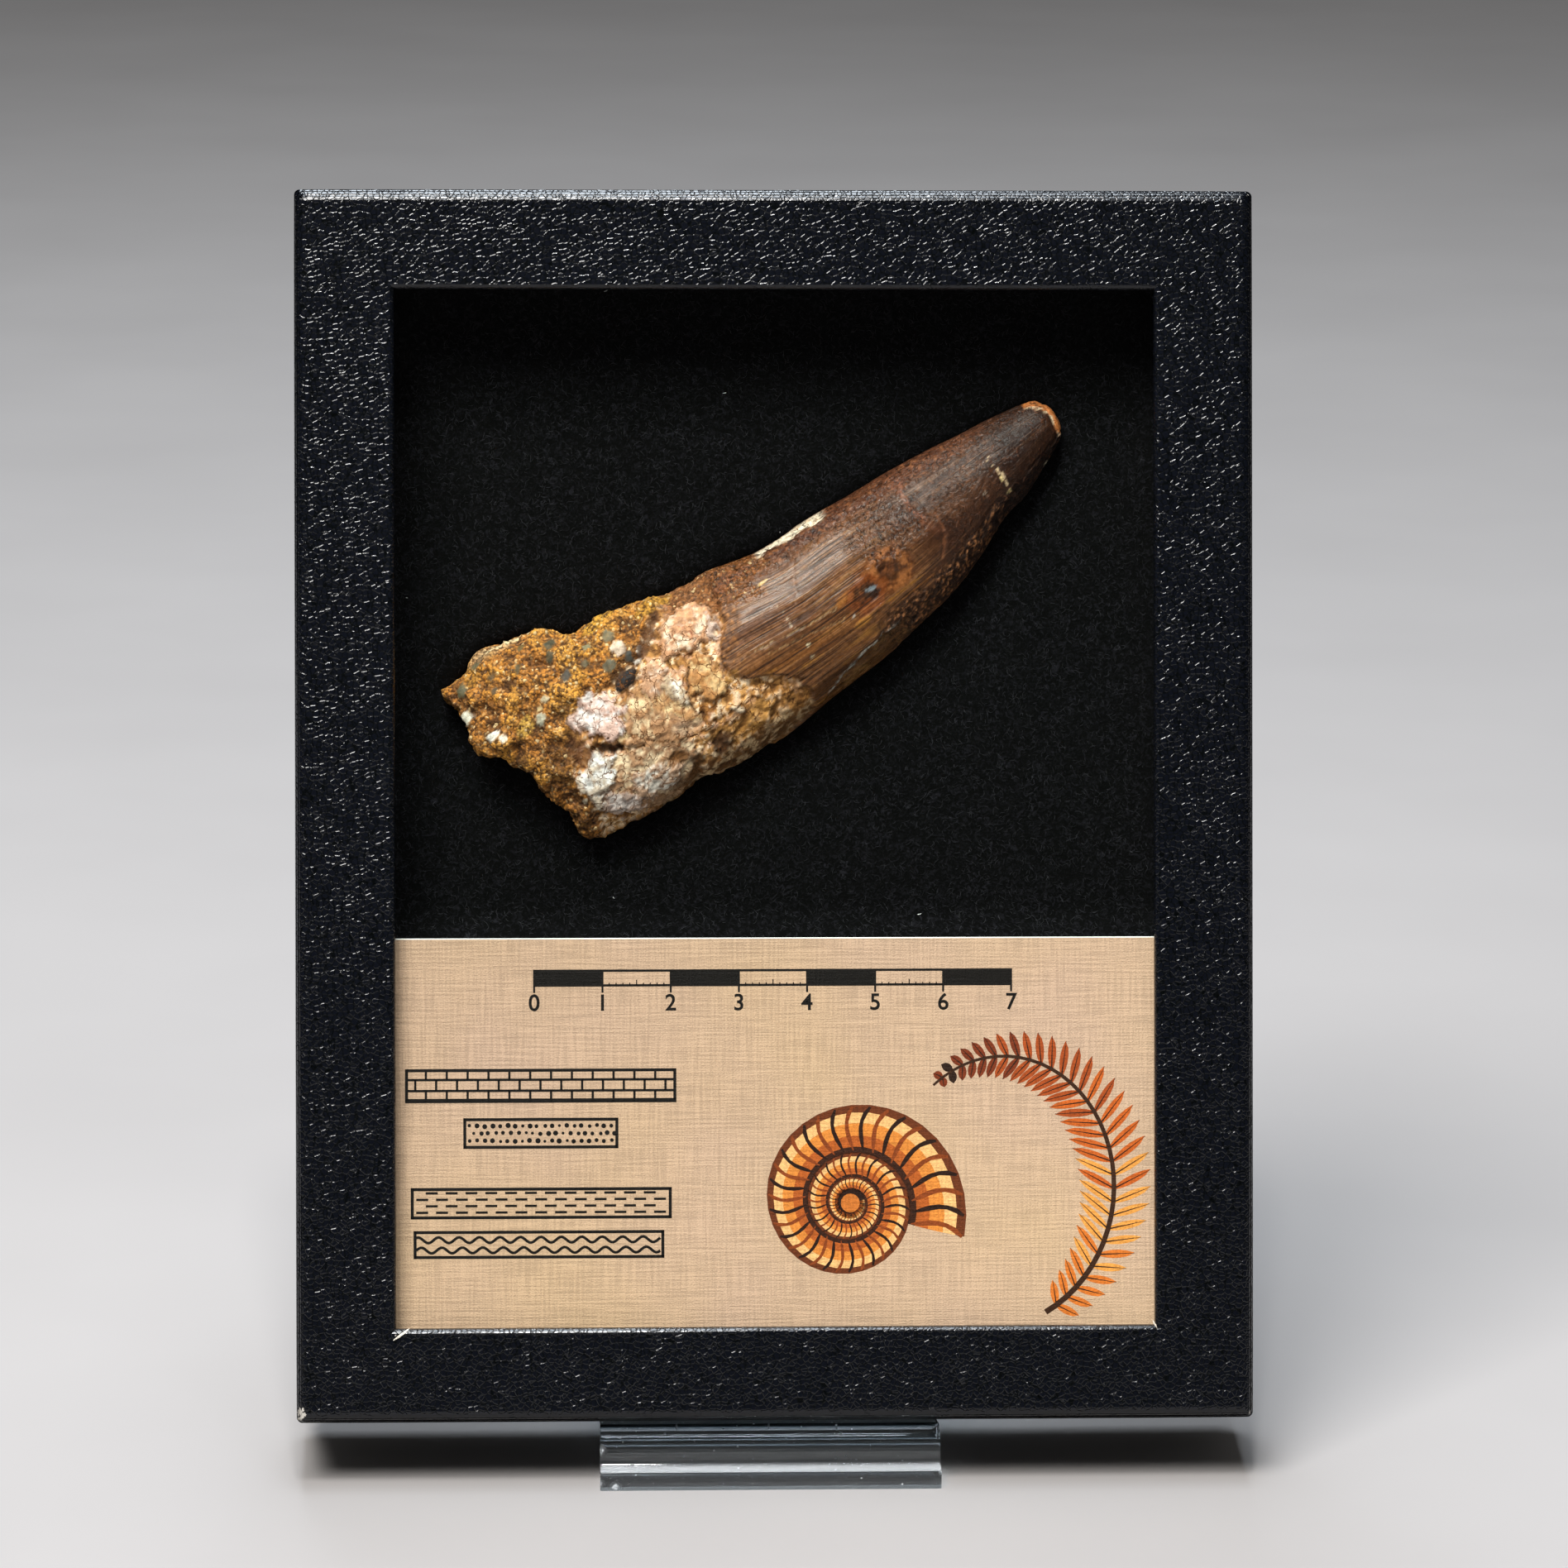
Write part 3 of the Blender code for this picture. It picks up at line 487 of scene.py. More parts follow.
def linen(tree, colour):
    """Finish a material as linen-embossed card: slubby threads both ways, and painted shade that darkens the
    ground towards the upper left.
    """
    weave = add_node(tree, "UVMap", uv_map="millimetres")[0]
    threads = 0.0
    for scale in ((0.12, 3.0, 1.0), (3.0, 0.12, 1.0), (4.5, 4.5, 1.0)):
        run = add_node(tree, "Mapping", {"Vector": weave, "Scale": scale})[0]
        thread = add_node(tree, "TexNoise", {"Vector": run, "Scale": 1.0, "Detail": 1.0})["Fac"]
        threads = add_node(tree, "Math", (threads, thread), operation="ADD")[0]
    shade = add_node(tree, "MapRange", (threads, 1.25, 1.75, 0.86, 1.10))["Result"]
    # Painted shade: the ground darkens towards the upper left.
    painted_shade_gradient = add_node(tree, "VectorMath", (weave, (0.0012, -0.0018, 0.0)), operation="DOT_PRODUCT")["Value"]
    shade = add_node(tree, "Math", (shade, painted_shade_gradient), operation="ADD")[0]
    tinted = add_node(tree, "VectorMath", {0: colour, "Scale": shade}, operation="SCALE")[0]
    bump = add_node(tree, "Bump", {"Height": threads, "Strength": 1.0, "Distance": 0.07 * MM})[0]
    shader = add_node(tree, "BsdfPrincipled", {"Base Color": tinted, "Roughness": 0.7, "Normal": bump,
                                               "Specular IOR Level": 0.2})
    add_node(tree, "OutputMaterial", {"Surface": shader[0]})


def flat_map(piece):
    """Give a flat piece a map in millimetres across and up the card."""
    layer = piece.data.uv_layers.new(name="millimetres")
    for loop in piece.data.loops:
        x, _, z = piece.data.vertices[loop.vertex_index].co
        layer.data[loop.index].uv = (x / MM, z / MM)


card_stock, tree = new_material("tan card, linen embossed")
weave = add_node(tree, "UVMap", uv_map="millimetres")[0]
wash = add_node(tree, "TexNoise", {"Vector": weave, "Scale": 0.028, "Detail": 2.0})["Fac"]
colour = add_node(tree, "ValToRGB", {"Fac": wash}, stops=(
    (0.3, "#C8A68F"), (0.5, "#C9A78B"), (0.7, "#CAA887")))[0]
linen(tree, colour)
white_edge, tree = new_material("white core of the card, guillotined")
fibres = add_node(tree, "TexNoise", {"Vector": millimetres(tree), "Scale": 8.0, "Detail": 2.0})["Fac"]
colour = add_node(tree, "ValToRGB", {"Fac": fibres}, stops=((0.3, "#D8D2C8"), (0.6, "#F8F5EF")))[0]
shader = add_node(tree, "BsdfPrincipled", {"Base Color": colour, "Roughness": 0.85})
add_node(tree, "OutputMaterial", {"Surface": shader[0]})
card = block("info_card_linen", (-CARD_HALF, CARD_FRONT, CARD_FOOT),
             (CARD_HALF, CARD_FRONT + CARD_THICK, CARD_HEAD))
edit(card)
pick("EDGE", lambda e: all(v.co.y < CARD_FRONT + HAIR for v in e.verts))
bpy.ops.mesh.bevel(offset=0.14 * MM, segments=2, affect="EDGES")
bpy.ops.object.mode_set(mode="OBJECT")
flat_map(card)
finish(card, card_stock, angle=15)
card.data.materials.append(white_edge)
facing = LEANING.to_3x3() @ Vector((0, -1, 0))
for polygon in card.data.polygons:
    polygon.material_index = int(polygon.normal.dot(facing) < 0.97)
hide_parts("info_card")

# The print on the card, in dark ink: a scale bar in centimetres, four bands of the signs for layers of
# rock, and at the right a picture in orange, cream and brown of a coiled shell and a fern.
INK = "#120D0A"
print_points, print_faces, print_colours = [], [], []


def ink(outline, code, layer=1):
    """Print one flat shape, given in millimetres across and up the card."""
    start = len(print_points)
    print_points.extend((x, CARD_FRONT / MM - 0.008 * layer, z) for x, z in outline)
    print_faces.append(tuple(range(start, start + len(outline))))
    print_colours.append(linear(code))


def ink_bar(left, foot, right, head, layer=1):
    """Print one upright bar in dark ink."""
    ink(((left, foot), (right, foot), (right, head), (left, head)), INK, layer)


def ink_line(points, width, code, layer=1):
    """Print a line through points whose width may change along it."""
    points = [Vector(p) for p in points]
    widths = width if isinstance(width, (list, tuple)) else [width] * len(points)
    sides = []
    for i, point in enumerate(points):
        way = (points[min(i + 1, len(points) - 1)] - points[max(i - 1, 0)]).normalized()
        edge = Vector((-way.y, way.x)) * widths[i] / 2
        sides.append((point - edge, point + edge))
    for (a, b), (c, d) in zip(sides, sides[1:]):
        ink((a, c, d, b), code, layer)


def ink_dot(x, z, radius, code, layer, count):
    """Print a round dot with so many corners."""
    ink([(x + radius * math.cos(a), z + radius * math.sin(a))
         for a in (2 * math.pi * k / count for k in range(count))], code, layer)


BAR_LEFT, BAR_FOOT, BAR_HEAD, BAR_RULE, BAR_CENTIMETRES = -35.3, 63.4, 65.9, 0.35, 7
TICK, LONG_TICK, TICK_HALF, MARK_HALF, MARK_DROP = 0.55, 1.0, 0.08, 0.15, 0.9
NUMBER_SIZE, NUMBER_DROP, NUMBER_BOLD = 3.4 * MM, 3.5, 0.05 * MM
for k in range(BAR_CENTIMETRES):
    x0, x1 = BAR_LEFT + 10 * k, BAR_LEFT + 10 * (k + 1)
    if k % 2 == 0:
        ink_bar(x0, BAR_FOOT, x1, BAR_HEAD)
    else:
        for z0 in (BAR_FOOT, BAR_HEAD - BAR_RULE):
            ink_bar(x0, z0, x1, z0 + BAR_RULE)
        for j in range(1, 10):
            x = x0 + j
            ink_bar(x - TICK_HALF, BAR_FOOT, x + TICK_HALF, BAR_FOOT + (LONG_TICK if j == 5 else TICK))
for k in range(BAR_CENTIMETRES + 1):
    x = BAR_LEFT + 10 * k
    ink_bar(x - MARK_HALF, BAR_FOOT - MARK_DROP, x + MARK_HALF, BAR_HEAD, 2)

LIMESTONE, SANDSTONE = (-54.2, -14.5, 46.6, 51.4), (-45.7, -23.0, 39.7, 44.2)
SHALE, MARL = (-53.4, -15.2, 29.4, 34.0), (-53.0, -16.3, 23.6, 27.7)
BAND_RULE = 0.45


def frame_band(left, right, foot, head):
    """Print the outline of one band of rock."""
    for x0, z0, x1, z1 in ((left, foot, right, foot + BAND_RULE), (left, head - BAND_RULE, right, head),
                           (left, foot, left + BAND_RULE, head), (right - BAND_RULE, foot, right, head)):
        ink_bar(x0, z0, x1, z1)


frame_band(*LIMESTONE)
left, right, foot, head = LIMESTONE
for row in range(3):
    z = foot + 1.6 * row
    ink_line(((left, z), (right, z)), 0.36, INK, 2)
    for k in range(14):
        x = left + 3.05 * k + 1.5 * (row % 2)
        if left + 0.7 < x < right - 0.5:
            ink_bar(x - 0.17, z, x + 0.17, z + 1.6, 2)
frame_band(*SANDSTONE)
left, right, foot, head = SANDSTONE
draw = random.Random(3)
for k in range(20):
    for row in range(3):
        x = left + 1 + 1.09 * k + 0.5 * (row % 2) + draw.uniform(-0.12, 0.12)
        ink_dot(x, foot + 1.15 + 1.1 * row + draw.uniform(-0.1, 0.1), draw.uniform(0.22, 0.4), INK, 2, 8)
frame_band(*SHALE)
left, right, foot, head = SHALE
for row in range(4):
    for k in range(13):
        x, z = left + 0.8 + 2.9 * k + 1.4 * (row % 2), foot + 0.8 + 0.95 * row
        if x + 1.7 < right - 0.4:
            ink_bar(x, z, x + 1.75, z + 0.35, 2)
frame_band(*MARL)
left, right, foot, head = MARL
for row in range(2):
    ink_line([(left + 0.4 + 0.3 * k, foot + 1.25 + 1.5 * row + 0.42 * math.sin(0.63 * k + row))
              for k in range(120)], 0.4, INK, 2)

# The coiled shell: whorls that widen steadily, ribbed, lighter on their backs and dark in the seams.
SHELL_MIDDLE, SHELL_REACH, SHELL_GROWTH, SHELL_TURNS, RIBS = (11.0, 31.5), 17.5, 0.105, 3.1, 34
SHELL_BANDS = ((0.0, 0.13, "#3A1C0E"), (0.13, 0.36, "#B65A22"), (0.36, 0.62, "#E0883A"),
               (0.62, 0.84, "#F0B878"), (0.84, 1.0, "#6A3216"))
RIB_WIDTHS = (0.2, 0.8, 1.0, 0.9, 0.8, 1.0, 0.5)


def on_whorl(angle, share, lean, tuck=1.0):
    """A point of the shell, at a share of the way from the inner to the outer seam of its whorl."""
    outer = SHELL_REACH * math.exp(-SHELL_GROWTH * angle)
    inner = outer * math.exp(-SHELL_GROWTH * 2 * math.pi) * tuck
    radius = inner + (outer - inner) * share
    way = -0.35 + angle + lean
    return SHELL_MIDDLE[0] + radius * math.cos(way), SHELL_MIDDLE[1] + radius * math.sin(way)


for k in range(int(SHELL_TURNS * RIBS)):
    a0, a1 = 2 * math.pi * k / RIBS, 2 * math.pi * (k + 1) / RIBS
    for low, high, code in SHELL_BANDS:
        ink([on_whorl(angle, share, 0.06 * share, 0.99)
             for angle, share in ((a0, low), (a1, low), (a1, high), (a0, high))], code)
    shares = [0.04 + 0.92 * j / 6 for j in range(7)]
    size = SHELL_REACH * math.exp(-SHELL_GROWTH * a0) * 0.045
    ink_line([on_whorl(a0, share, 0.12 * math.sin(share * math.pi * 0.9)) for share in shares],
             [size * width for width in RIB_WIDTHS], "#2A140B" if k % 2 else "#8A3F18", 2)
ink_dot(*SHELL_MIDDLE, 2.3, "#2A140B", 1, 20)
ink_dot(*SHELL_MIDDLE, 1.4, "#C8702E", 2, 16)

# The fern: a curved stem with paired leaflets, orange at the base, brown and black at the curled end.
FERN_STEPS, LEAFLET_SPREAD = 33, math.radians(62)
LEAFLET_TINTS = ("#D8742A", "#E79A48", "#C75E20", "#A84A1C", "#7A3216", "#2E1A10")
stem = []
for k in range(FERN_STEPS + 1):
    share = k / FERN_STEPS
    angle = math.radians(-62 + 190 * share)
    stem.append((31.5 + 17.5 * math.cos(angle) + 2.5 * share, 33.0 + 20.0 * math.sin(angle)))
ink_line(stem, [0.85 * (1 - 0.6 * k / FERN_STEPS) for k in range(FERN_STEPS + 1)], "#3A2010", 3)
for k in range(1, FERN_STEPS):
    share = k / FERN_STEPS
    (x0, z0), (x, z), (x1, z1) = stem[k - 1:k + 2]
    way = math.atan2(z1 - z0, x1 - x0)
    long = 7.2 * math.sin(math.pi * (0.12 + 0.83 * share)) ** 0.8 * (1 - 0.35 * share)
    for out in (way - LEAFLET_SPREAD, way + LEAFLET_SPREAD):
        blade = []
        for j in range(11):
            reach = min(1.0, (j if j <= 5 else 10 - j) / 5)
            width = 0.62 * math.sin(math.pi * min(0.999, reach * 0.92 + 0.06)) ** 0.7 * (1 if j <= 5 else -1)
            blade.append((x + long * reach * math.cos(out) - width * math.sin(out),
                          z + long * reach * math.sin(out) + width * math.cos(out)))
        ink(blade, LEAFLET_TINTS[min(5, int(share * 5 + 0.5 * (k % 2)))])
        ink_line(((x, z), (x + long * math.cos(out), z + long * math.sin(out))), (0.22, 0.05), "#2E1A10", 2)

printed, tree = new_material("printed ink on linen card")
inks = add_node(tree, "Attribute", attribute_name="ink")["Color"]
weave = add_node(tree, "UVMap", uv_map="millimetres")[0]
patchy = add_node(tree, "TexNoise", {"Vector": weave, "Scale": 2.2, "Detail": 4.0})["Fac"]
patchy = add_node(tree, "MapRange", (patchy, 0.3, 0.7, 0.82, 1.15))["Result"]
linen(tree, add_node(tree, "VectorMath", {0: inks, "Scale": patchy}, operation="SCALE")[0])
mesh = bpy.data.meshes.new("card_print")
mesh.from_pydata([(x * MM, y * MM, z * MM) for x, y, z in print_points], [], print_faces)
mesh.attributes.new("ink", "FLOAT_COLOR", "CORNER")
mesh.attributes["ink"].data.foreach_set(
    "color", [part for face, colour in zip(print_faces, print_colours) for _ in face for part in colour])
card_print = bpy.data.objects.new("card_print", mesh)
bpy.context.collection.objects.link(card_print)
numbers = []
for k in range(BAR_CENTIMETRES + 1):
    bpy.ops.object.select_all(action="DESELECT")
    bpy.ops.object.text_add()
    number = bpy.context.object
    number.data.body = str(k)
    number.data.align_x = "CENTER"
    number.data.size = NUMBER_SIZE
    number.data.offset = NUMBER_BOLD
    bpy.ops.object.convert(target="MESH")
    spot = Vector((BAR_LEFT + 10 * k, CARD_FRONT / MM - 0.012, BAR_FOOT - NUMBER_DROP)) * MM
    number.data.transform(Matrix.Translation(spot) @ Matrix.Rotation(math.pi / 2, 4, "X"))
    number.data.attributes.new("ink", "FLOAT_COLOR", "CORNER").data.foreach_set(
        "color", linear(INK) * len(number.data.loops))
    numbers.append(number)
bpy.ops.object.select_all(action="DESELECT")
for item in numbers + [card_print]:
    item.select_set(True)
bpy.context.view_layer.objects.active = card_print
bpy.ops.object.join()
for polygon in card_print.data.polygons:
    if polygon.normal.y > 0:
        polygon.flip()
flat_map(card_print)
finish(card_print, printed)

# The fossil: a tooth crown of dark brown enamel, chipped and stained, with cream and pink plates of older
# enamel and golden sandstone with small stones still set round its root. It is held by the pressed felt.
# Its places are in millimetres along (towards the tip) and across its axis, which rises to the right.
TOOTH_BACK_SHARE, BACK_RELIEF, RELIEF_LIMIT = 0.85, 0.6, 1.2
TOOTH_COLUMNS, TOOTH_RINGS, FRONT_SHARE = 300, 318, 0.64
TOOTH_TIP, TIP_CAP, ROOT_CAP = (50.4, 6.2), 0.035, 0.085
# Rows from the tip to the root: a point of the upper edge, one of the lower, and the front half's depth.
TOOTH_ROWS = np.array((
    (49.7, 8.6, 49.3, 3.0, 3.0), (48.4, 10.0, 47.2, 1.8, 4.2), (42.3, 10.9, 40.9, -1.4, 5.7),
    (37.3, 11.2, 36.3, -2.7, 6.4), (31.4, 11.7, 30.7, -5.6, 7.1), (24.8, 12.0, 24.5, -8.1, 7.8),
    (18.1, 12.0, 17.8, -9.7, 8.3), (11.4, 12.2, 11.1, -11.2, 8.7), (5.3, 11.8, 5.1, -11.9, 8.9),
    (0.8, 12.0, 0.4, -12.4, 9.0), (-5.8, 13.2, -5.9, -13.4, 9.0), (-11.7, 13.5, -11.3, -13.8, 9.0),
    (-18.5, 15.0, -17.2, -13.8, 9.0), (-22.8, 15.7, -21.3, -13.7, 8.9), (-27.0, 15.5, -25.3, -13.7, 8.8),
    (-29.5, 17.4, -28.3, -13.7, 8.8), (-34.5, 20.0, -31.9, -13.7, 8.6), (-39.3, 20.7, -35.4, -13.2, 8.3),
    (-42.7, 20.0, -38.7, -12.7, 7.8), (-45.9, 19.0, -40.8, -11.6, 7.0), (-48.5, 17.7, -41.9, -10.1, 5.8)))
# Where the enamel and the stone end, as pairs of across and along.
ENAMEL_EDGE = ((-11.6, -2.1), (-7.6, -2.3), (-5.2, -4.8), (-3.2, -9.4), (-0.4, -11.1), (2.3, -10.4),
               (4.8, -8.3), (7.9, -7.2), (10.8, -6.4), (13.2, -6.0))
STONE_EDGE = ((-13, -38.5), (-9, -38.3), (-3, -38.0), (0, -36.2), (2, -35.8), (4, -35.5), (5, -33.5),
              (6.2, -30), (7, -24), (8, -21), (11, -17.5), (12, -15), (14, -12.5))


def field(places, size, octaves, shift=0.0):
    """Fractal noise of one grain size at each place, from about -1 to 1."""
    return np.array([noise.fractal(Vector((x / size + shift, y / size, z / size)), 0.8, 2.1, octaves)
                     for x, y, z in places])


def tooth_rows(place):
    """The table's five measures at fractional places, on smooth curves through its rows."""
    last = len(TOOTH_ROWS) - 1
    index = np.minimum(place.astype(int), last - 1)
    share = (place - index)[:, None]
    a, b, c, d = (TOOTH_ROWS[np.clip(index + k, 0, last)] for k in (-1, 0, 1, 2))
    return (2 * b + (c - a) * share + (2 * a - 5 * b + 4 * c - d) * share ** 2
            + (3 * b - a - 3 * c + d) * share ** 3) / 2


ROOT_MIDDLE = (-30.0, 3.5)
ROOT_OUTLINE = (
    (-15, 14.2), (-18.8, 14.9), (-22.8, 15.7), (-25.5, 16.0), (-26.9, 15.4), (-29.3, 16.9), (-31.8, 19.5),
    (-34.3, 19.9), (-37.3, 20.4), (-40.8, 20.9), (-43.1, 19.9), (-44.3, 18.8), (-46.9, 18.6), (-48.7, 18.1),
    (-48.7, 16.8), (-48.5, 14.9), (-47.8, 12.1), (-48.7, 10.1), (-47.9, 7.6), (-45.1, 5.7), (-43.8, 2.5),
    (-42.4, 0.6), (-43.1, -1.2), (-42.5, -3.7), (-41.4, -6.3), (-41.9, -8.5), (-42.1, -10.4), (-41.0, -11.8),
    (-38.9, -12.5), (-34.1, -12.8), (-28.3, -13.0), (-21.1, -13.1), (-13.8, -13.1))


def about_root(along, across):
    """Bearing and distance of places from the middle of the root."""
    way = np.arctan2(across - ROOT_MIDDLE[1], along - ROOT_MIDDLE[0]) % (2 * math.pi)
    return way, np.hypot(along - ROOT_MIDDLE[0], across - ROOT_MIDDLE[1])


# A ball is drawn out into the tooth, with its poles at the tip and the root. Each ring takes its width and
# depth from the table's rows, and more of each ring's points go to the front, which shows.
bpy.ops.object.select_all(action="DESELECT")
bpy.ops.mesh.primitive_uv_sphere_add(segments=TOOTH_COLUMNS, ring_count=TOOTH_RINGS, radius=1)
tooth = bpy.context.object
tooth.name = "fossil_tooth_and_matrix"
ball = np.empty(len(tooth.data.vertices) * 3)
tooth.data.vertices.foreach_get("co", ball)
ball = ball.reshape(-1, 3)
down = np.arccos(np.clip(ball[:, 2], -1, 1)) / math.pi
round_share = (np.arctan2(ball[:, 1], ball[:, 0]) + math.pi) / (2 * math.pi)
turn = -math.pi * np.where(round_share < FRONT_SHARE, round_share / FRONT_SHARE,
                           1 + (round_share - FRONT_SHARE) / (1 - FRONT_SHARE))
middles = (TOOTH_ROWS[:, 0] + TOOTH_ROWS[:, 2]) / 2
body = np.clip((down - TIP_CAP) / (1 - TIP_CAP - ROOT_CAP), 0, 1) ** 0.85
body = middles[0] + (middles[-1] - middles[0]) * body
rows = tooth_rows(np.interp(-body, -middles, np.arange(len(middles))))
middle = (rows[:, 0:2] + rows[:, 2:4]) / 2
reach = (rows[:, 0:2] - rows[:, 2:4]) / 2
square = 1 - 0.22 * step(-8, -24, middle[:, 0])
side = np.sign(np.cos(turn)) * np.abs(np.cos(turn)) ** square
deep = np.sign(np.sin(turn)) * np.abs(np.sin(turn)) ** square
tip = np.clip(down / TIP_CAP, 0, 1)
root = np.clip((1 - down) / ROOT_CAP, 0, 1)
shrink = np.sin(tip * math.pi / 2) * root ** 0.85
spot = middle + reach * (side * shrink)[:, None]
spot[:, 0] += (TOOTH_TIP[0] - middles[0]) * np.cos(tip * math.pi / 2) + 0.5 * (1 - root)
along, across = spot[:, 0], spot[:, 1]
# The broken root takes the outline seen from the front: each bearing is drawn out or in to reach it.
way, away = about_root(along, across)
rim = (np.abs(deep) < 0.15) & (along < -12)
bearings = np.radians(np.arange(60, 304, 3.0))
made = np.array([away[rim & (np.abs(way - b) < 0.07)].max(initial=12) for b in bearings])
made = np.convolve(np.pad(made, 1, "edge"), (0.25, 0.5, 0.25), "valid")
wanted_way, wanted = about_root(*np.array(ROOT_OUTLINE).T)
ratio = np.interp(bearings, wanted_way, wanted) / made
ratio = 1 + (np.interp(way, bearings, ratio) - 1) * step(-16, -24, along)
along = ROOT_MIDDLE[0] + (along - ROOT_MIDDLE[0]) * ratio
across = ROOT_MIDDLE[1] + (across - ROOT_MIDDLE[1]) * ratio
solid = rows[:, 4] * shrink
depth = np.where(deep < 0, solid, solid * TOOTH_BACK_SHARE) * deep
places = np.stack((along, depth, across), 1)
front = step(0.05, -0.3, deep)
wrapped = step(0.4, 0.1, deep)
around = np.abs(turn + math.pi) * 10


def lumps(places, size, shift=0.0):
    """Height of rounded grains packed together, from 0 in the creases to 1 on the grains."""
    return np.array([1 - min(1, noise.voronoi(Vector((x / size + shift, y / size, z / size)))[0][0])
                     for x, y, z in places])


# Noise in grains from 11 mm down to 0.34 mm, shared by the relief, the colours and the edges between them.
huge, big, mid = field(places, 11, 3, 5.1), field(places, 5.5, 4), field(places, 2.2, 3, 9.3)
fine, grit, tiny = field(places, 0.9, 2, 3.3), field(places, 0.5, 1, 1.7), field(places, 0.34, 1, 8.8)
other = field(places, 1.7, 3, 21.4)
strand = field(np.stack((along / 14, around, depth * 0.15), 1), 0.34, 2, 2.2)
strand_wide = field(np.stack((along / 9, around, depth * 0.15), 1), 0.9, 2, 6.4)
clods, grains = lumps(places, 2.3), lumps(places, 0.8, 4.0)
ragged = 0.9 * mid + 0.5 * fine

# Where the enamel ends and where the stone begins. Between them the dentine is bare.
enamel_line = np.interp(across, *zip(*ENAMEL_EDGE))
enamel = step(-0.35, 0.45, along - (front * enamel_line + (1 - front) * (-9 + 2.5 * big)) + 0.7 * ragged)
stone_line = np.interp(across, *zip(*STONE_EDGE))
stone = step(0.5, -0.6, along - (front * stone_line + (1 - front) * (-22 + 5 * big)) + ragged)
bare = (1 - enamel) * (1 - stone)
# Relief, in millimetres out of the smooth form: clods and grains of stone, sunk dentine, flutes and strands
# of enamel, and enamel that is pebbled along its upper edge, in one patch and towards the tip.
skin = stone * (0.85 * big + 0.5 * mid + 0.3 * fine + 0.15 * grit + 0.45 * (clods - 0.55)
                + 0.25 * (grains - 0.55) + 0.3)
skin += bare * (0.40 * big + 0.24 * mid + 0.14 * fine + 0.10 * grit - 0.45)
ridged = step(30, 14, along) * step(-11, -6, along)
flutes = 0.07 * np.cos(around * 1.7 + 0.6 * big) * step(34, 16, along)
skin += enamel * (flutes + (0.015 + 0.03 * ridged) * strand + 0.12 * huge + 0.05 * mid + 0.30)
crust = step(-0.5, -0.72, side + 0.12 * mid) * step(8, 14, along) * enamel
pebbled = np.maximum.reduce((
    enamel * step(7.0, 9.0, across + 0.6 * mid), 0.6 * enamel * step(22, 29, along + 2 * big),
    enamel * step(6.0, 3.5, np.hypot((along - 20) / 1.4, across - 5) + mid), crust))
skin += pebbled * (0.09 * fine + 0.08 * grit)
skin += crust * (0.12 * fine + 0.08 * grit - 0.35 * step(0.0, 0.5, mid + fine))
paint = np.zeros((len(along), 3))
sheen = np.full(len(along), 0.82)


def lay(code, mask):
    """Paint a colour over the fossil where a mask says."""
    mask = np.clip(mask, 0, 1)[:, None]
    paint[:] = paint * (1 - mask) + np.array(linear(code)[:3]) * mask


# Bare dentine and cement under the plates: tan, mottled with cream, pink, caramel and brown, and darker brown
# along the lower rim as painted shade where it turns down.
lay("#CC9050", np.ones(len(along)))
lay("#8A5424", step(0.05, 0.6, big + 0.5 * mid) * 0.75)
lay("#EEB470", step(0.0, 0.55, mid - 0.4 * big) * 0.9)
lay("#EBB898", step(0.05, 0.5, other + 0.5 * fine) * 0.75)
lay("#FFE2C0", step(0.15, 0.45, fine + 0.5 * mid - 0.3 * big + 0.3 * grit) * 0.8)
lay("#C48440", bare * step(-17, -13, along) * step(-4, -6, across) * 0.45)
lay("#6E4018", step(0.15, 0.5, -fine - 0.4 * other - 0.2 * grit) * 0.75)
# Painted shade: darker brown along the lower rim of the dentine, where it turns down away from the lamps.
lay("#5E3A1A", wrapped * step(-9.8, -12.6, across - 0.8 * mid) * step(-31, -27, along) * 0.85)
lay("#DDB88A", wrapped * step(-9.5, -11.5, across) * step(0.1, 0.4, other + 0.6 * fine)
    * step(-31, -27, along) * 0.7)
# Enamel: chocolate brown, greyer near the root where a dull sheen is painted in, dark red towards the tip,
# with pale and orange strands.
lay("#6A4228", enamel)
# Painted sheen: a greyer patch near the root stands in for a dull reflection.
lay("#6E4A38", enamel * step(8, -6, along) * step(-4, 0, across) * step(9, 5, across) * 0.6)
lay("#4A2C1A", enamel * step(0.0, 0.8, strand_wide + 0.3 * big) * 0.35)
lay("#8E6438", enamel * step(0.2, 0.6, strand) * ridged * 0.5)
lay("#321D0C", enamel * step(0.1, 0.5, -strand) * ridged * 0.7)
lay("#6E411A", enamel * step(1, -6, across + 0.12 * (along - 5)) * step(28, 10, along)
    * (0.75 + 0.25 * strand_wide))
lay("#A8702E", enamel * step(0.3, 0.6, strand_wide) * step(-2, -6, across) * step(30, 16, along) * 0.6)
lay("#2C150B", enamel * step(17, 28, along) * step(5.0, 0.0, across + 2.0 * big) * 0.92)
lay("#2E1A12", enamel * step(14, 24, along) * step(1, 5, across) * step(10.5, 8, across)
    * (0.72 + 0.3 * fine))
lay("#4E2A1C", enamel * step(8.2, 10.0, across - 0.3 * mid) * step(46, 40, along) * 0.8)
# Pale orange grains along the upper rim: partly the rim's own colour, partly painted highlights where it
# faces the light.
lay("#8E5836", enamel * step(0.2, 0.6, fine + 0.5 * grit) * step(7.5, 9.5, across)
    * step(44, 30, along) * 0.7)
lay("#462410", enamel * step(-3, -8, across) * step(22, 30, along) * 0.6)
lay("#301A0E", crust * 0.85)
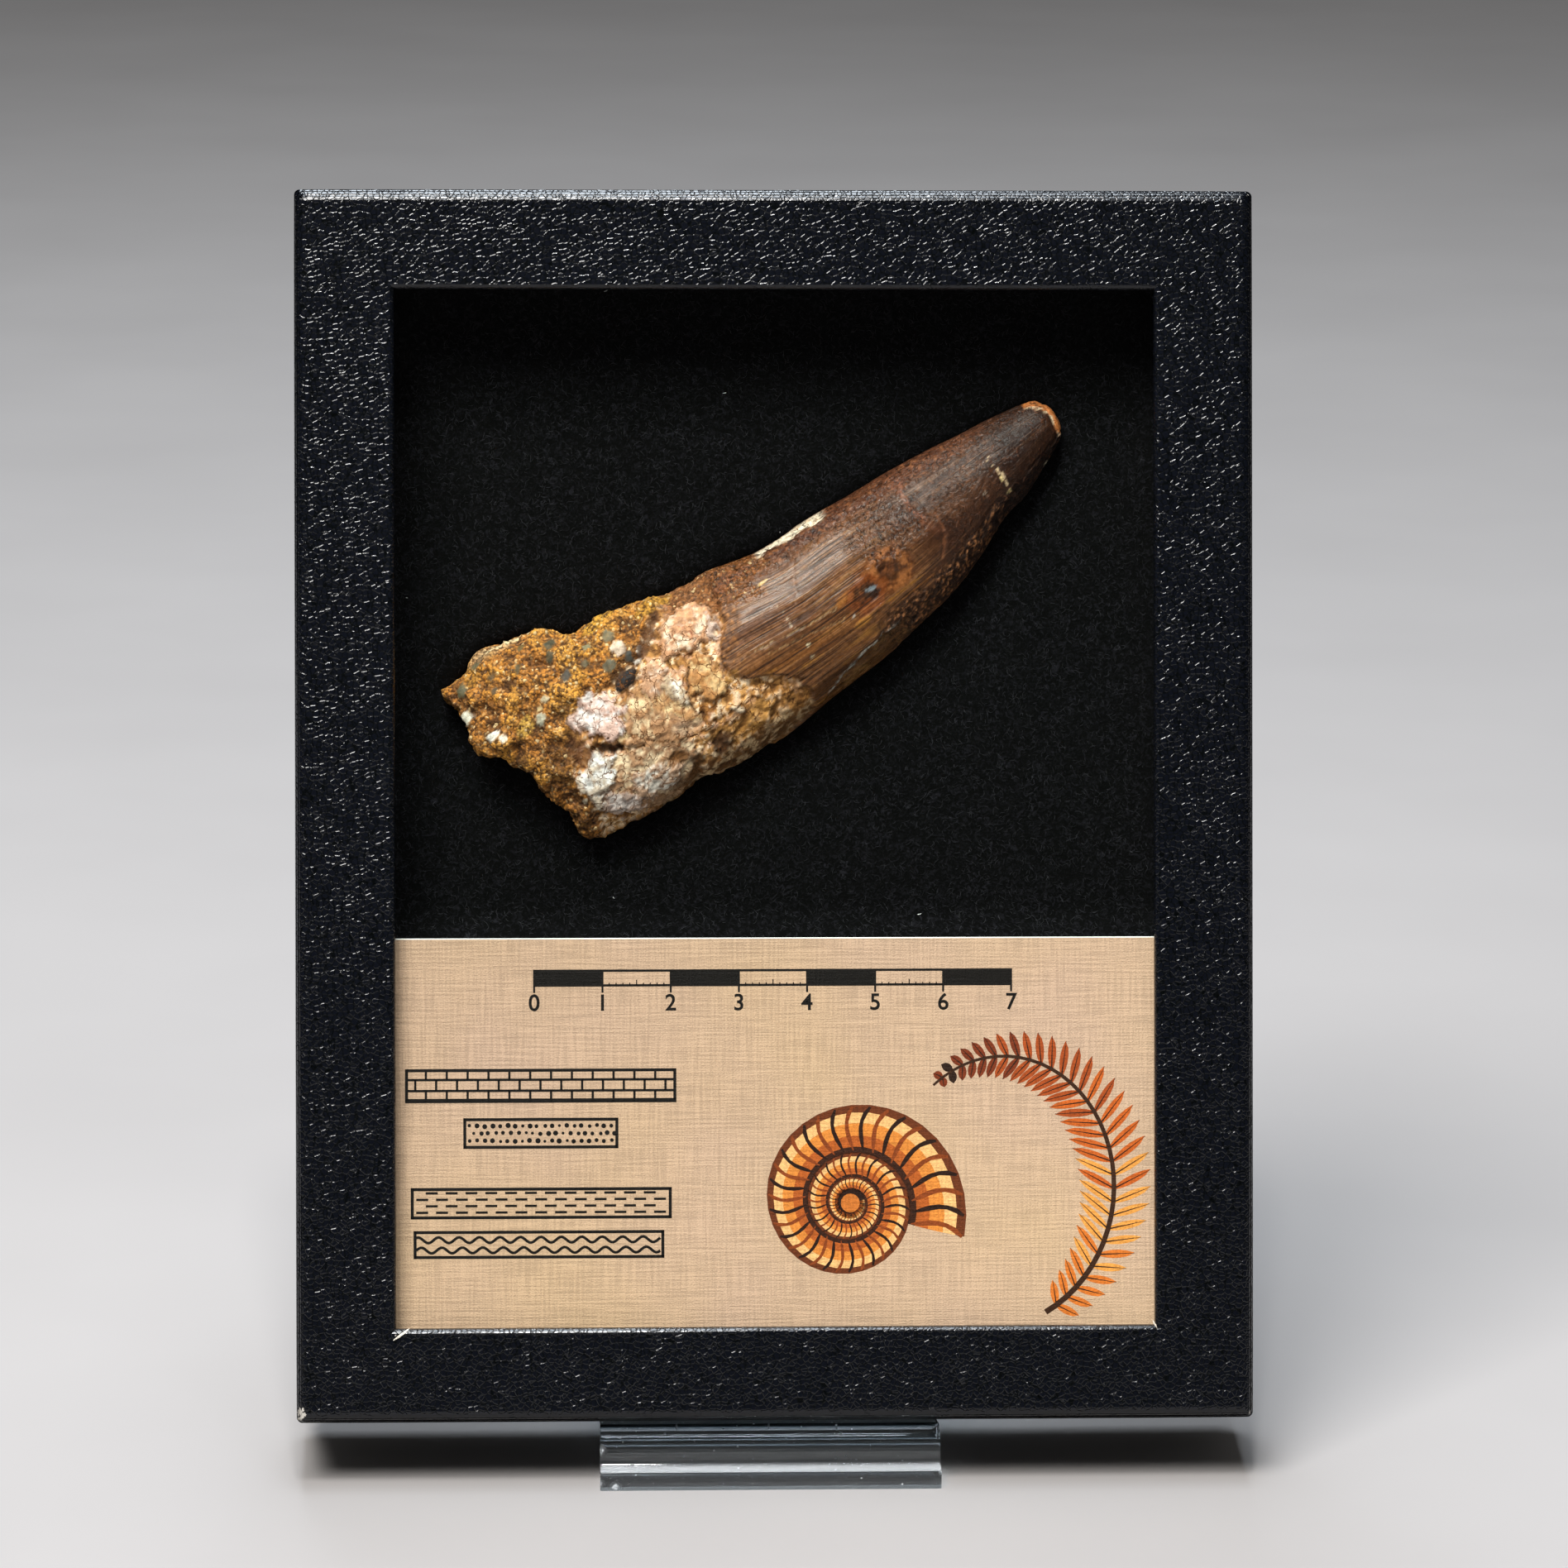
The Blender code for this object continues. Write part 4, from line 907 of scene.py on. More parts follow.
# Painted highlights: the pale grains on the crust of the lower side stand in for light from low at the right.
lay("#B8784A", crust * step(0.1, 0.4, grit + 0.5 * fine) * 0.85)
lay("#200E08", enamel * step(33, 42, along + 0.4 * (5 - across) + mid) * 0.9)
grainy = enamel * step(4.0, 2.2, along - enamel_line + 0.8 * mid) * step(-3, -0.5, across)
lay("#6A4020", grainy * 0.85)
lay("#B4743C", grainy * step(0.15, 0.5, grit + 0.4 * fine) * 0.7)
lay("#38200F", grainy * step(0.15, 0.5, 0.5 * fine - grit) * 0.7)
skin += grainy * (0.1 * fine + 0.1 * grit)
sheen += enamel * (-0.56 + 0.05 * fine + 0.13 * step(20, 30, along)) + 0.35 * crust + 0.25 * grainy
# Sandstone: golden ochre quartz sand, browner where it is worn hollow and towards the plates.
lay("#BC7830", stone)
lay("#D6943C", stone * step(-0.1, 0.5, big + 0.4 * mid))
lay("#7E4C20", stone * step(0.05, 0.7, -big - 0.4 * mid) * 0.8)
lay("#74461F", stone * step(-41.5, -38, along + 0.35 * across + 1.2 * mid) * step(6, -2, across) * 0.7)
lay("#DDB57A", stone * step(0.3, 0.6, tiny + 0.3 * fine) * 0.5)
lay("#6A4420", stone * step(0.1, 0.6, -mid - 0.3 * other) * 0.55)
lay("#4A2C12", stone * step(0.30, 0.12, clods) * 0.75)
lay("#5C3818", stone * step(0.2, 0.55, -grit - 0.3 * tiny) * 0.6)
lay("#D9C49A", stone * front * step(18.2, 19.4, across + 0.5 * mid) * step(-33, -36, along) * 0.35)
# The brown granular band between the stone and the enamel along the upper side.
band = wrapped * step(-16, -13, along + 0.6 * mid) * step(6.2, 8.2, across + 0.5 * mid + 0.12 * (along + 8))
band *= step(0.6, -1.2, along - 2.5 + 0.4 * across - 4 * (across > 9) - 0.8 * mid)
lay("#824E28", band * 0.9)
lay("#B4703C", band * step(0.2, 0.6, grit + 0.4 * fine) * 0.7)
lay("#44260F", band * step(0.2, 0.6, -grit + 0.3 * fine) * 0.7)
skin += band * (0.22 * fine + 0.18 * grit)
sandy = np.maximum(stone, band * 0.8)
# Old enamel plates: outline, height, main colour, stain, and share of stain.
PLATES = (
    (((-29.0, 1.0), (-24.0, 4.0), (-20.0, 4.0), (-17.0, -2.0), (-18.5, -5.2), (-26.0, -3.4), (-31.0, -1.6)),
     0.25, "#F6D4A0", "#9E6028", 0.4),
    (((-32.4, -2.6), (-26.0, -4.6), (-20.5, -7.0), (-21.0, -9.6), (-24.0, -12.0), (-29.0, -13.0),
     (-34.0, -11.6), (-36.3, -8.8), (-34.0, -5.0)), 0.25, "#FADCB4", "#8C562C", 0.44),
    (((-31.5, -7.2), (-27.0, -7.4), (-23.5, -9.4), (-26.0, -11.4), (-31.0, -10.6)), 0.35, "#FAEEE0",
     "#A06A38", 0.32),
    (((-35.2, 4.8), (-32.7, 6.0), (-30.7, 6.9), (-29.4, 6.4), (-27.8, 5.4), (-27.1, 4.0), (-26.7, 2.2),
     (-27.5, 1.6), (-28.7, 1.6), (-27.8, 0.3), (-29.2, -1.1), (-33.3, 1.3), (-33.1, 2.5), (-34.9, 3.6)),
     0.75, "#FAEEE8", "#D0A08C", 0.34),
    (((-34.7, -1.1), (-31.8, -2.8), (-33.2, -3.8), (-33.1, -6.0), (-34.7, -6.8), (-36.4, -6.6),
     (-36.2, -8.3), (-37.2, -9.3), (-37.4, -7.3), (-38.2, -5.2), (-37.9, -3.6), (-37.1, -2.7),
     (-35.5, -2.4)), 0.7, "#F4F0EA", "#B8A084", 0.24),
    (((-16.5, 9.2), (-14.6, 10.4), (-11.4, 10.5), (-9.7, 10.0), (-8.4, 8.4), (-8.9, 5.9), (-10.4, 4.8),
     (-12.2, 4.8), (-14.3, 4.6), (-16.2, 5.2), (-17.7, 5.6), (-17.2, 7.4)), 0.85, "#EAD0B4", "#BC7844",
     0.42),
    (((-15.4, 3.7), (-13.5, 3.8), (-11.6, 2.4), (-12.0, 0.1), (-11.7, -2.0), (-12.9, -3.6), (-14.5, -3.7),
     (-16.0, -2.0), (-17.5, -1.1), (-16.5, 1.4)), 0.85, "#E8C088", "#AC6A2E", 0.36),
    (((-19.6, 2.6), (-18.4, 3.0), (-17.9, 0.7), (-17.8, -2.2), (-18.8, -2.3), (-19.7, -0.4), (-20.0, 1.2)),
     0.6, "#EBDECB", "#AA8860", 0.3),
    (((-21.8, 5.6), (-20.0, 5.8), (-18.6, 4.2), (-20.3, 2.1), (-21.6, 1.2), (-23.0, 2.6)), 0.45, "#F0D2BC",
     "#B07848", 0.45),
    (((-25.7, 3.1), (-22.3, 1.0), (-23.4, -0.8), (-26.8, 1.2)), 0.45, "#F4D4A4", "#B07040", 0.4),
    (((-26.9, 1.0), (-22.5, -1.4), (-19.9, -3.8), (-21.7, -6.3), (-25.8, -4.6), (-28.7, -2.4)), 0.35,
     "#F6D4A8", "#8E5426", 0.5),
    (((-35.8, -6.9), (-32.3, -9.2), (-30.5, -11.3), (-34.2, -11.8), (-36.8, -9.6)), 0.4, "#E4D4CC",
     "#A0806C", 0.35),
    (((-10.6, 4.4), (-9.2, 7.6), (-8.6, 6.8), (-9.6, 4.3)), 0.4, "#F0E2D8", "#C09A84", 0.3))
for outline, rise, main, stain, share in PLATES:
    gap = inside(along + 0.8 * mid + 0.5 * fine, across + 0.8 * other + 0.5 * grit, outline) + 0.12
    mask = step(-0.1, 0.25, gap) * front
    skin = skin * (1 - mask * 0.6) + mask * (rise * 0.6 + 0.10 * fine + 0.13 * mid + 0.07 * grit)
    lay("#6B4020", step(-0.5, -0.1, gap) * front * (1 - mask) * 0.45)
    lay(main, mask * 0.97)
    blotch = 0.5 + 0.6 * mid + 0.4 * fine + 0.35 * step(0.9, 0.1, gap)
    lay(stain, mask * step(0.62 - share, 1.05 - share, blotch) * 0.8)
    lay("#6B3D20", mask * step(0.08, 0.02, np.abs(mid - 0.2 * fine)) * 0.5)
    sheen = sheen * (1 - mask) + (0.6 + 0.1 * fine) * mask
    sandy *= 1 - mask
# Dirt in the hollows of the stone and dentine.
dirt = (1 - enamel) * front * step(0.05, -0.75, 0.6 * mid + 0.5 * fine + 0.3 * grit)
lay("#3A2210", dirt * (0.35 + 0.35 * stone))
# Loose stones: place, half length, half width, turn and colour.
STONES = (
    (-47.4, 12.7, 1.15, 0.85, 0.6, "#CFC8B4"), (-45.2, 8.7, 0.95, 0.55, 0.1, "#F0EADC"),
    (-44.1, 7.6, 0.55, 0.5, 0, "#E8DFCC"), (-38.0, 7.1, 1.0, 0.75, 1.3, "#B4AD96"),
    (-35.9, 9.3, 0.6, 0.5, 0, "#B9A888"), (-37.3, 8.5, 0.5, 0.4, 0, "#A88E62"),
    (-31.5, 10.6, 1.05, 0.65, 0.5, "#48423A"), (-31.3, 15.8, 0.9, 0.6, 0.2, "#443F2E"),
    (-32.1, 14.2, 0.8, 0.6, 1.0, "#3E3A2A"), (-23.3, 12.4, 0.85, 0.75, 0.3, "#6E634A"),
    (-26.8, 12.5, 0.6, 0.5, 0, "#7A7052"), (-28.2, 10.7, 0.6, 0.55, 0, "#5C5039"),
    (-22.9, 10.1, 1.1, 1.0, 0.4, "#D9BFA8"), (-25.2, 8.6, 1.1, 0.9, 0.2, "#5E5745"),
    (-24.2, 5.7, 1.9, 1.2, 0.3, "#0C0C10"), (-22.1, 8.4, 0.9, 0.6, 1.1, "#3A3832"),
    (-40.9, 16.0, 0.7, 0.4, 0.5, "#5B4428"), (-42.0, 18.6, 0.8, 0.45, 0.4, "#5E5640"),
    (-45.8, 16.7, 1.0, 0.7, 0.7, "#57503A"), (-41.6, 14.1, 0.7, 0.4, 0.6, "#4A3820"),
    (-37.0, 15.2, 0.7, 0.4, 0.9, "#54452A"), (-35.0, 17.6, 0.7, 0.4, 0.4, "#5E4C2A"),
    (-38.6, -6.5, 0.45, 0.35, 0, "#C9BFA8"), (-20.4, 8.6, 0.7, 0.35, 0.9, "#E8DCCB"),
    (-21.3, 7.2, 0.55, 0.3, 0.2, "#D8CCC0"), (-25.9, 5.2, 0.6, 0.4, 1.0, "#1A1A1E"))


def turned_to(at_along, at_across, slant):
    """Each place counted along and across a mark that lies at a slant."""
    da, dc = along - at_along, across - at_across
    return da * math.cos(slant) + dc * math.sin(slant), dc * math.cos(slant) - da * math.sin(slant)


for at_along, at_across, long, wide, slant, code in STONES:
    u, v = turned_to(at_along, at_across, slant)
    gap = ((np.abs(u) / long) ** 2.6 + (np.abs(v) / wide) ** 2.6) ** 0.5 + 0.35 * fine + 0.3 * grit
    mask = step(1.12, 0.85, gap) * front
    skin = skin * (1 - 0.5 * mask) + mask * 0.5 * wide * np.sqrt(np.clip(1.15 - gap, 0, 1))
    lay("#3A2410", step(0.3, 0.0, np.abs(gap - 1.2)) * front * 0.45)
    lay(code, mask * (0.98 + 0.15 * grit + 0.1 * fine))
    sheen = sheen * (1 - mask) + 0.62 * mask
    sandy *= 1 - mask
# Stains and hollows: place, half length, half width, turn, colour, strength and depth.
SPOTS = (
    (-37.6, 1.0, 2.2, 2.6, 0.0, "#5E3B1B", 0.6, 0.3), (-39.6, -1.0, 1.9, 3.0, 0.0, "#553415", 0.6, 0.3),
    (-39.5, -8.3, 1.8, 3.0, 0.0, "#4C2E14", 0.65, 0.2),
    (-31.7, -1.6, 2.4, 0.75, -0.55, "#341D0F", 0.95, 0.8),
    (-23.5, -7.8, 1.0, 0.7, -0.3, "#9C6226", 0.8, 0.1), (-10.7, -1.9, 1.2, 0.9, 0.3, "#B07C36", 0.7, 0.0),
    (-22.8, 15.0, 3.4, 0.9, 0.15, "#CC9636", 0.8, -0.1), (-15.0, 13.3, 3.0, 0.9, 0.1, "#C08C34", 0.7, 0.0),
    (-40.6, 7.3, 1.6, 1.0, 0.6, "#D2A64C", 0.7, 0.0), (-43.5, 17.5, 1.4, 1.2, 0.4, "#B98332", 0.6, 0.0),
    (-33.8, 19.2, 6.0, 0.35, -0.1, "#E6CFA2", 0.85, 0.0),
    (-20.3, -4.9, 2.2, 1.2, -0.5, "#D9B090", 0.55, 0.0), (-24.5, 1.6, 1.4, 1.0, -0.6, "#EBCBA0", 0.7, 0.0),
    (-12.4, -6.6, 1.3, 0.45, -0.9, "#E3CDB0", 0.85, -0.3),
    (-14.0, -9.6, 3.2, 1.7, -0.1, "#BC8440", 0.6, 0.1), (-9.6, -8.8, 2.4, 1.6, 0.2, "#C68E48", 0.65, -0.1),
    (0.1, 7.3, 0.9, 0.25, 0.1, "#E0B878", 0.9, 0.0), (1.3, -3.7, 0.28, 0.25, 0, "#E3CDA6", 0.9, 0.0),
    (0.9, -5.4, 0.25, 0.22, 0, "#E3CDA6", 0.9, 0.0), (9.2, -3.6, 0.35, 0.15, 0.6, "#C8C0B4", 0.8, 0.0),
    (35.2, 2.0, 0.35, 0.25, 0.0, "#8E8274", 0.8, 0.0), (38.6, 4.0, 0.25, 0.10, 1.6, "#DABB94", 0.9, 0.0),
    (38.6, 2.4, 0.6, 0.2, 1.7, "#E0C48A", 0.95, 0.0), (38.6, 0.5, 0.3, 0.24, 0.3, "#E0C48A", 0.9, 0.0),
    (45.5, 1.2, 0.2, 0.15, 0.3, "#D8C8AC", 0.8, 0.0), (14.3, 1.7, 2.3, 0.8, 0.2, "#6E3C1A", 0.6, 0.0),
    (9.2, -0.7, 1.6, 0.7, 0.3, "#9A5E26", 0.75, 0.0), (9.9, -5.0, 1.5, 0.55, 0.2, "#B3762F", 0.8, -0.05),
    (12.1, -3.3, 2.4, 1.0, 0.3, "#5B2A16", 0.7, 0.15), (17.7, -3.9, 3.3, 0.18, 0.12, "#B3762F", 0.8, 0.0),
    (19.5, -4.7, 3.0, 0.14, 0.12, "#9A5E26", 0.7, 0.0), (25.9, 1.8, 2.0, 0.9, -0.9, "#5E3420", 0.4, 0.0),
    (24.6, 7.0, 0.45, 3.2, 0.1, "#74422A", 0.5, -0.05), (-3.0, 10.3, 3.4, 1.0, 0.0, "#8A5236", 0.5, 0.0),
    (-16.8, -10.1, 2.3, 1.3, 0.5, "#44260F", 0.95, 0.1), (-21.1, -10.2, 1.3, 1.1, 0.9, "#5E3A18", 0.9, 0.1),
    (-23.4, -8.1, 1.6, 0.9, -0.4, "#74491F", 0.85, 0.1), (-18.3, 9.6, 3.9, 0.9, 0.69, "#55341E", 0.9, 0.25),
    (-35.7, 0.1, 1.5, 2.4, 0.3, "#58321A", 0.75, 0.2), (-23.6, -11.7, 3.0, 0.8, 0.1, "#6B4420", 0.75, 0.1),
    (-25.2, 6.9, 1.4, 0.9, 0.3, "#3A2416", 0.7, 0.1), (-12.2, -8.4, 1.5, 0.6, 0.7, "#7A4C20", 0.75, 0.15),
    (-8.0, -9.6, 1.6, 0.5, 0.5, "#6E441C", 0.75, 0.15))
for at_along, at_across, long, wide, slant, code, strength, dent in SPOTS:
    u, v = turned_to(at_along, at_across, slant)
    gap = np.hypot(u / long, v / wide) + 0.35 * mid + 0.25 * fine
    mask = step(1.2, 0.75, gap) * front
    lay(code, mask * strength)
    skin -= mask * dent
# The rust on the crown: a ragged orange ring round a dark middle, and a dark patch with a painted glint, a
# blue-grey highlight painted into its colour.
rust = np.hypot((along - 17.1) / 1.1, across + 0.4) + 0.5 * mid + 0.3 * other + 0.2 * fine
lay("#4A2410", step(4.0, 2.9, rust) * front * 0.8)
lay("#945A30", step(1.1, 0.5, np.abs(rust - 2.5)) * step(-0.5, 0.2, 0.6 * other + fine) * front * 0.85)
lay("#1C0E08", step(2.1, 1.3, rust) * front * 0.82)
lay("#7A4626", step(0.1, 0.4, mid + 0.5 * fine) * step(1.6, 0.8, rust) * front * 0.6)
patch = np.hypot((along - 12.6) / 1.5, across + 1.7) + 0.5 * mid + 0.4 * other
lay("#743A18", step(2.7, 1.9, patch) * front * 0.85)
lay("#1C100C", step(1.5, 0.9, patch + 0.5 * fine) * front * 0.9)
# Painted glint: a blue-grey highlight painted as colour on the dark patch.
painted_glint = np.hypot((along - 13.3) / 1.9, (across + 1.5) * 1.7) + 0.4 * fine
lay("#848F96", step(0.62, 0.3, painted_glint) * front * 0.9)
skin -= (step(1.7, 0.9, rust) + step(1.5, 0.9, patch)) * front * 0.12
# The chipped edges: a ragged cream strip on the upper side and a lower ledge with a pale rim that is partly a
# painted highlight along its edge.
upper_chip = step(1.2, 2.6, along + 0.6 * mid) * step(13.9, 12.2, along + 0.6 * mid)
upper_chip *= step(10.6, 11.1, across + 0.5 * mid + 0.3 * fine) * step(-0.02, -0.2, deep)
lay("#EEDABF", upper_chip * 0.97)
lay("#B58A5C", upper_chip * step(0.2, 0.5, fine + 0.5 * mid) * 0.6)
skin -= upper_chip * (0.3 - 0.2 * fine)
LEDGE = (
    (-1.5, -12.3), (1.1, -11.0), (4.0, -10.0), (6.8, -9.1), (9.4, -8.6), (11.9, -7.9), (14.0, -7.7),
    (17.1, -6.8), (21.8, -6.1), (26.0, -5.4))
below = np.interp(along, *zip(*LEDGE)) - across + 0.35 * mid + 0.15 * fine
lower_chip = step(0.0, 0.3, below) * step(-2.5, 0, along) * step(17, 13, along) * front
skin -= lower_chip * 0.6
lay("#6B4523", lower_chip * 0.85)
lay("#9A7040", lower_chip * step(0.0, 0.5, mid + 0.4 * strand) * 0.7)
# The pale rim is partly the ledge's own colour and partly a painted highlight along its edge.
pale_rim_and_highlight = front * step(0.45, 0.15, np.abs(below)) * step(0.35, -0.15, fine)
lay("#D6D0C4", pale_rim_and_highlight * step(0.0, 1.5, along) * step(15, 12, along))
# Cracks: their points, width, colour and depth.
CRACKS = (
    (((-28.5, -1.3), (-24.9, -4.6), (-20.5, -6.6), (-17.4, -6.9), (-14.1, -6.4), (-9.5, -6.4), (-5.3, -5.9)),
     0.15, "#6E441E", 0.15),
    (((-15.3, 2.9), (-16.7, 0.7), (-18.0, -2.2), (-17.2, -5.0)), 0.22, "#4A2E16", 0.32),
    (((6.8, 9.8), (5.5, 7.0), (3.5, 4.2), (3.2, 2.1)), 0.10, "#7C5640", 0.12),
    (((0.0, 3.8), (0.6, 1.6), (1.0, -0.7)), 0.09, "#B79E84", 0.10),
    (((24.6, 11.1), (25.4, 9.2), (24.6, 7.2), (24.6, 4.9), (25.4, 3.4)), 0.32, "#7C4A34", 0.12),
    (((35.2, 4.2), (35.4, 1.2)), 0.09, "#6E4A34", 0.10),
    (((27.5, 3.2), (27.0, -0.4), (24.8, -3.0)), 0.3, "#6B4028", 0.10),
    (((-6.2, -0.4), (0.4, -1.1), (7.5, -1.3)), 0.12, "#A98A66", 0.14),
    (((-4.5, -1.9), (2.0, -2.5), (8.0, -3.3)), 0.12, "#9C7A54", 0.14),
    (((38.1, 6.0), (38.4, 4.2), (38.8, 2.5), (38.7, 0.2)), 0.10, "#DABB94", 0.0),
    (((-31.0, 3.9), (-29.6, 2.6), (-27.8, 2.9)), 0.10, "#9C6A4E", 0.15),
    (((-13.6, 8.3), (-12.4, 6.9), (-12.9, 5.2)), 0.12, "#A8684A", 0.15))
for points, width, code, dent in CRACKS:
    gap = off_line(along + 0.5 * mid + 0.25 * fine, across + 0.3 * fine, points)
    mask = step(width, width * 0.3, gap + 0.3 * width * grit) * front
    lay(code, mask * 0.9)
    skin -= mask * dent
# The worn tip: an orange facet of dentine with a pale rim, and darker enamel beside it.
facet = off_line(along, across, ((48.0, 10.2), (49.8, 8.9), (50.9, 6.6), (50.4, 4.3)))
lay("#3A1A0E", step(46.5, 48, along) * step(1.8, 1.1, facet + 0.3 * mid) * 0.8)
worn_end = step(46.8, 47.4, along)
lay("#C87840", step(1.35, 0.95, facet + 0.3 * mid) * worn_end)
lay("#E8D0AC", step(0.2, 0.05, np.abs(facet - 1.1 + 0.3 * mid)) * worn_end * 0.7)
lay("#8A4A24", step(0.2, 0.6, fine) * step(1.2, 0.8, facet) * worn_end * 0.5)
# The unseen back is plainer: the same stone, enamel and dentine with a few pale flakes.
flake = (1 - wrapped) * bare * step(0.2, 0.35, big + 0.4 * mid)
lay("#E4D0AE", flake * 0.9)
skin += flake * 0.3

# The relief is eased at the sides, which keeps the outline, and is lower at the back. It then lifts each
# point straight out of the smooth form.
skin = np.where(skin > 0, skin * (1 - 0.75 * step(0.4, 0.05, np.abs(deep))), skin)
limit = np.where(deep < 0, RELIEF_LIMIT, RELIEF_LIMIT * BACK_RELIEF)
skin = np.clip(np.where(deep < 0, skin, skin * BACK_RELIEF), -2.0, limit)
rise_cos, rise_sin = math.cos(TOOTH_RISE), math.sin(TOOTH_RISE)
points = np.stack((along * rise_cos - across * rise_sin, depth, along * rise_sin + across * rise_cos), 1) * MM
points += np.array(TOOTH_MIDDLE)
tooth.data.vertices.foreach_set("co", points.ravel())
tooth.data.update()
outward = np.empty(len(points) * 3)
tooth.data.vertex_normals.foreach_get("vector", outward)
outward = outward.reshape(-1, 3)
outward *= np.sign(np.sum(outward * (points - np.array(TOOTH_MIDDLE)), axis=1).mean())
points += outward * skin[:, None] * MM
tooth.data.vertices.foreach_set("co", points.ravel())
tooth.data.update()
colours = tooth.data.attributes.new("paint", "FLOAT_COLOR", "POINT")
colours.data.foreach_set("color", np.hstack((np.clip(paint, 0, 1), np.ones((len(paint), 1)))).ravel())
lie = tooth.data.attributes.new("lie", "FLOAT_VECTOR", "POINT")
lie.data.foreach_set("vector", np.stack((places[:, 0], around, places[:, 1]), 1).ravel())
# How much of each finish every point has. They steer the material's grains, strands, pits and gloss.
stranded = enamel * (1 - 0.75 * pebbled) * (1 - upper_chip) * (1 - 0.8 * step(4.0, 3.0, rust) * front)
stranded *= 1 - 0.6 * step(17, 28, along) * step(7, 4, across)
lacy = bare * (1 - band) + np.where(paint.min(axis=1) > 0.35, 0.4, 0) * stone
FINISHES = {"sheen": sheen, "sandy": sandy, "strands": stranded, "pebbled": pebbled, "lacy": lacy}
for name, values in FINISHES.items():
    tooth.data.attributes.new(name, "FLOAT", "POINT").data.foreach_set("value", np.clip(values, 0, 1))

# Fossil surfaces. Enamel is glassy and drawn into strands of about 0.4 mm that follow the tooth, or finely
# pebbled. Sandstone is packed quartz grains of 0.4 mm, some dark, some clear. Dentine is pitted and cracked.
fossil, tree = new_material("fossil enamel, dentine and ochre sandstone")
place = millimetres(tree)
layers = add_node(tree, "Attribute", attribute_name="paint")["Color"]
masks = {name: add_node(tree, "Attribute", attribute_name=name)["Fac"] for name in FINISHES}
speckle = add_node(tree, "TexNoise", {"Vector": place, "Scale": 1.3, "Detail": 6.0, "Roughness": 0.7})["Fac"]
sand = add_node(tree, "TexVoronoi", {"Vector": place, "Scale": 2.3})
drawn = add_node(tree, "SeparateColor", {"Color": sand["Color"]})
run = add_node(tree, "Attribute", attribute_name="lie")["Vector"]
run = add_node(tree, "Mapping", {"Vector": run, "Scale": (0.08, 4.6, 0.08)})[0]
strand = add_node(tree, "TexNoise", {"Vector": run, "Scale": 1.0, "Detail": 3.0, "Roughness": 0.6})["Fac"]
wrinkle = add_node(tree, "TexNoise", {"Vector": place, "Scale": 1.5, "Detail": 3.0, "Roughness": 0.65,
                                      "Distortion": 1.2})["Fac"]
sway = add_node(tree, "TexNoise", {"Vector": place, "Scale": 0.7, "Detail": 4.0})["Color"]
bent = add_node(tree, "VectorMath", (sway, (2.2, 2.2, 2.2), place), operation="MULTIPLY_ADD")[0]
cracks = add_node(tree, "TexVoronoi", {"Vector": bent, "Scale": 0.42}, feature="DISTANCE_TO_EDGE")[0]
cracks = add_node(tree, "MapRange", (cracks, 0.035, 0.008, 0.0, 0.9))[0]
broken = add_node(tree, "MapRange", (speckle, 0.45, 0.52))[0]
cracks = add_node(tree, "Math", (cracks, broken), operation="MULTIPLY")[0]
pits = add_node(tree, "TexNoise", {"Vector": place, "Scale": 1.9, "Detail": 3.0, "Roughness": 0.6})["Fac"]
pits = add_node(tree, "MapRange", (pits, 0.61, 0.70, 0.0, 0.6))[0]
holes = add_node(tree, "Math", (cracks, pits), operation="MAXIMUM")[0]
colour = layers
for mask, pattern, low, high, share, code in (
        ("sandy", drawn["Red"], 0.30, 0.16, 0.85, "#4A2C12"),
        ("sandy", drawn["Green"], 0.93, 0.98, 0.6, "#F6D29A"),
        ("sandy", sand["Distance"], 0.45, 0.8, 0.7, "#3C220C"),
        ("strands", strand, 0.52, 0.72, 0.65, "#9C6E48"), ("strands", strand, 0.50, 0.36, 0.85, "#2A150A"),
        ("pebbled", wrinkle, 0.49, 0.38, 0.85, "#1E0E06"), ("pebbled", wrinkle, 0.56, 0.72, 0.5, "#8A5438"),
        ("lacy", holes, 0.0, 1.0, 1.0, "#6E4018")):
    amount = add_node(tree, "MapRange", (pattern, low, high, 0.0, share))[0]
    amount = add_node(tree, "Math", (amount, masks[mask]), operation="MULTIPLY")[0]
    colour = add_node(tree, "Mix", {0: amount, 6: colour, 7: code}, data_type="RGBA")[2]
tone = add_node(tree, "MapRange", (speckle, 0.35, 0.65, 0.66, 1.30))[0]
colour = add_node(tree, "VectorMath", {0: colour, "Scale": tone}, operation="SCALE")[0]
coarse = add_node(tree, "MapRange", (masks["sheen"], 0.3, 0.8, 0.08, 0.8))[0]
relief = add_node(tree, "Math", (speckle, coarse), operation="MULTIPLY")[0]
for mask, pattern, depth in (("sandy", sand["Distance"], -0.75), ("strands", strand, 0.36),
                             ("pebbled", wrinkle, 1.2), ("lacy", holes, -0.45)):
    part = add_node(tree, "Math", (masks[mask], pattern), operation="MULTIPLY")[0]
    relief = add_node(tree, "Math", (part, depth, relief), operation="MULTIPLY_ADD")[0]
bump = add_node(tree, "Bump", {"Height": relief, "Strength": 1.0, "Distance": 0.24 * MM})[0]
rough = add_node(tree, "MapRange", (speckle, 0.3, 0.7, -0.06, 0.06))[0]
rough = add_node(tree, "Math", (masks["sheen"], rough), operation="ADD")[0]
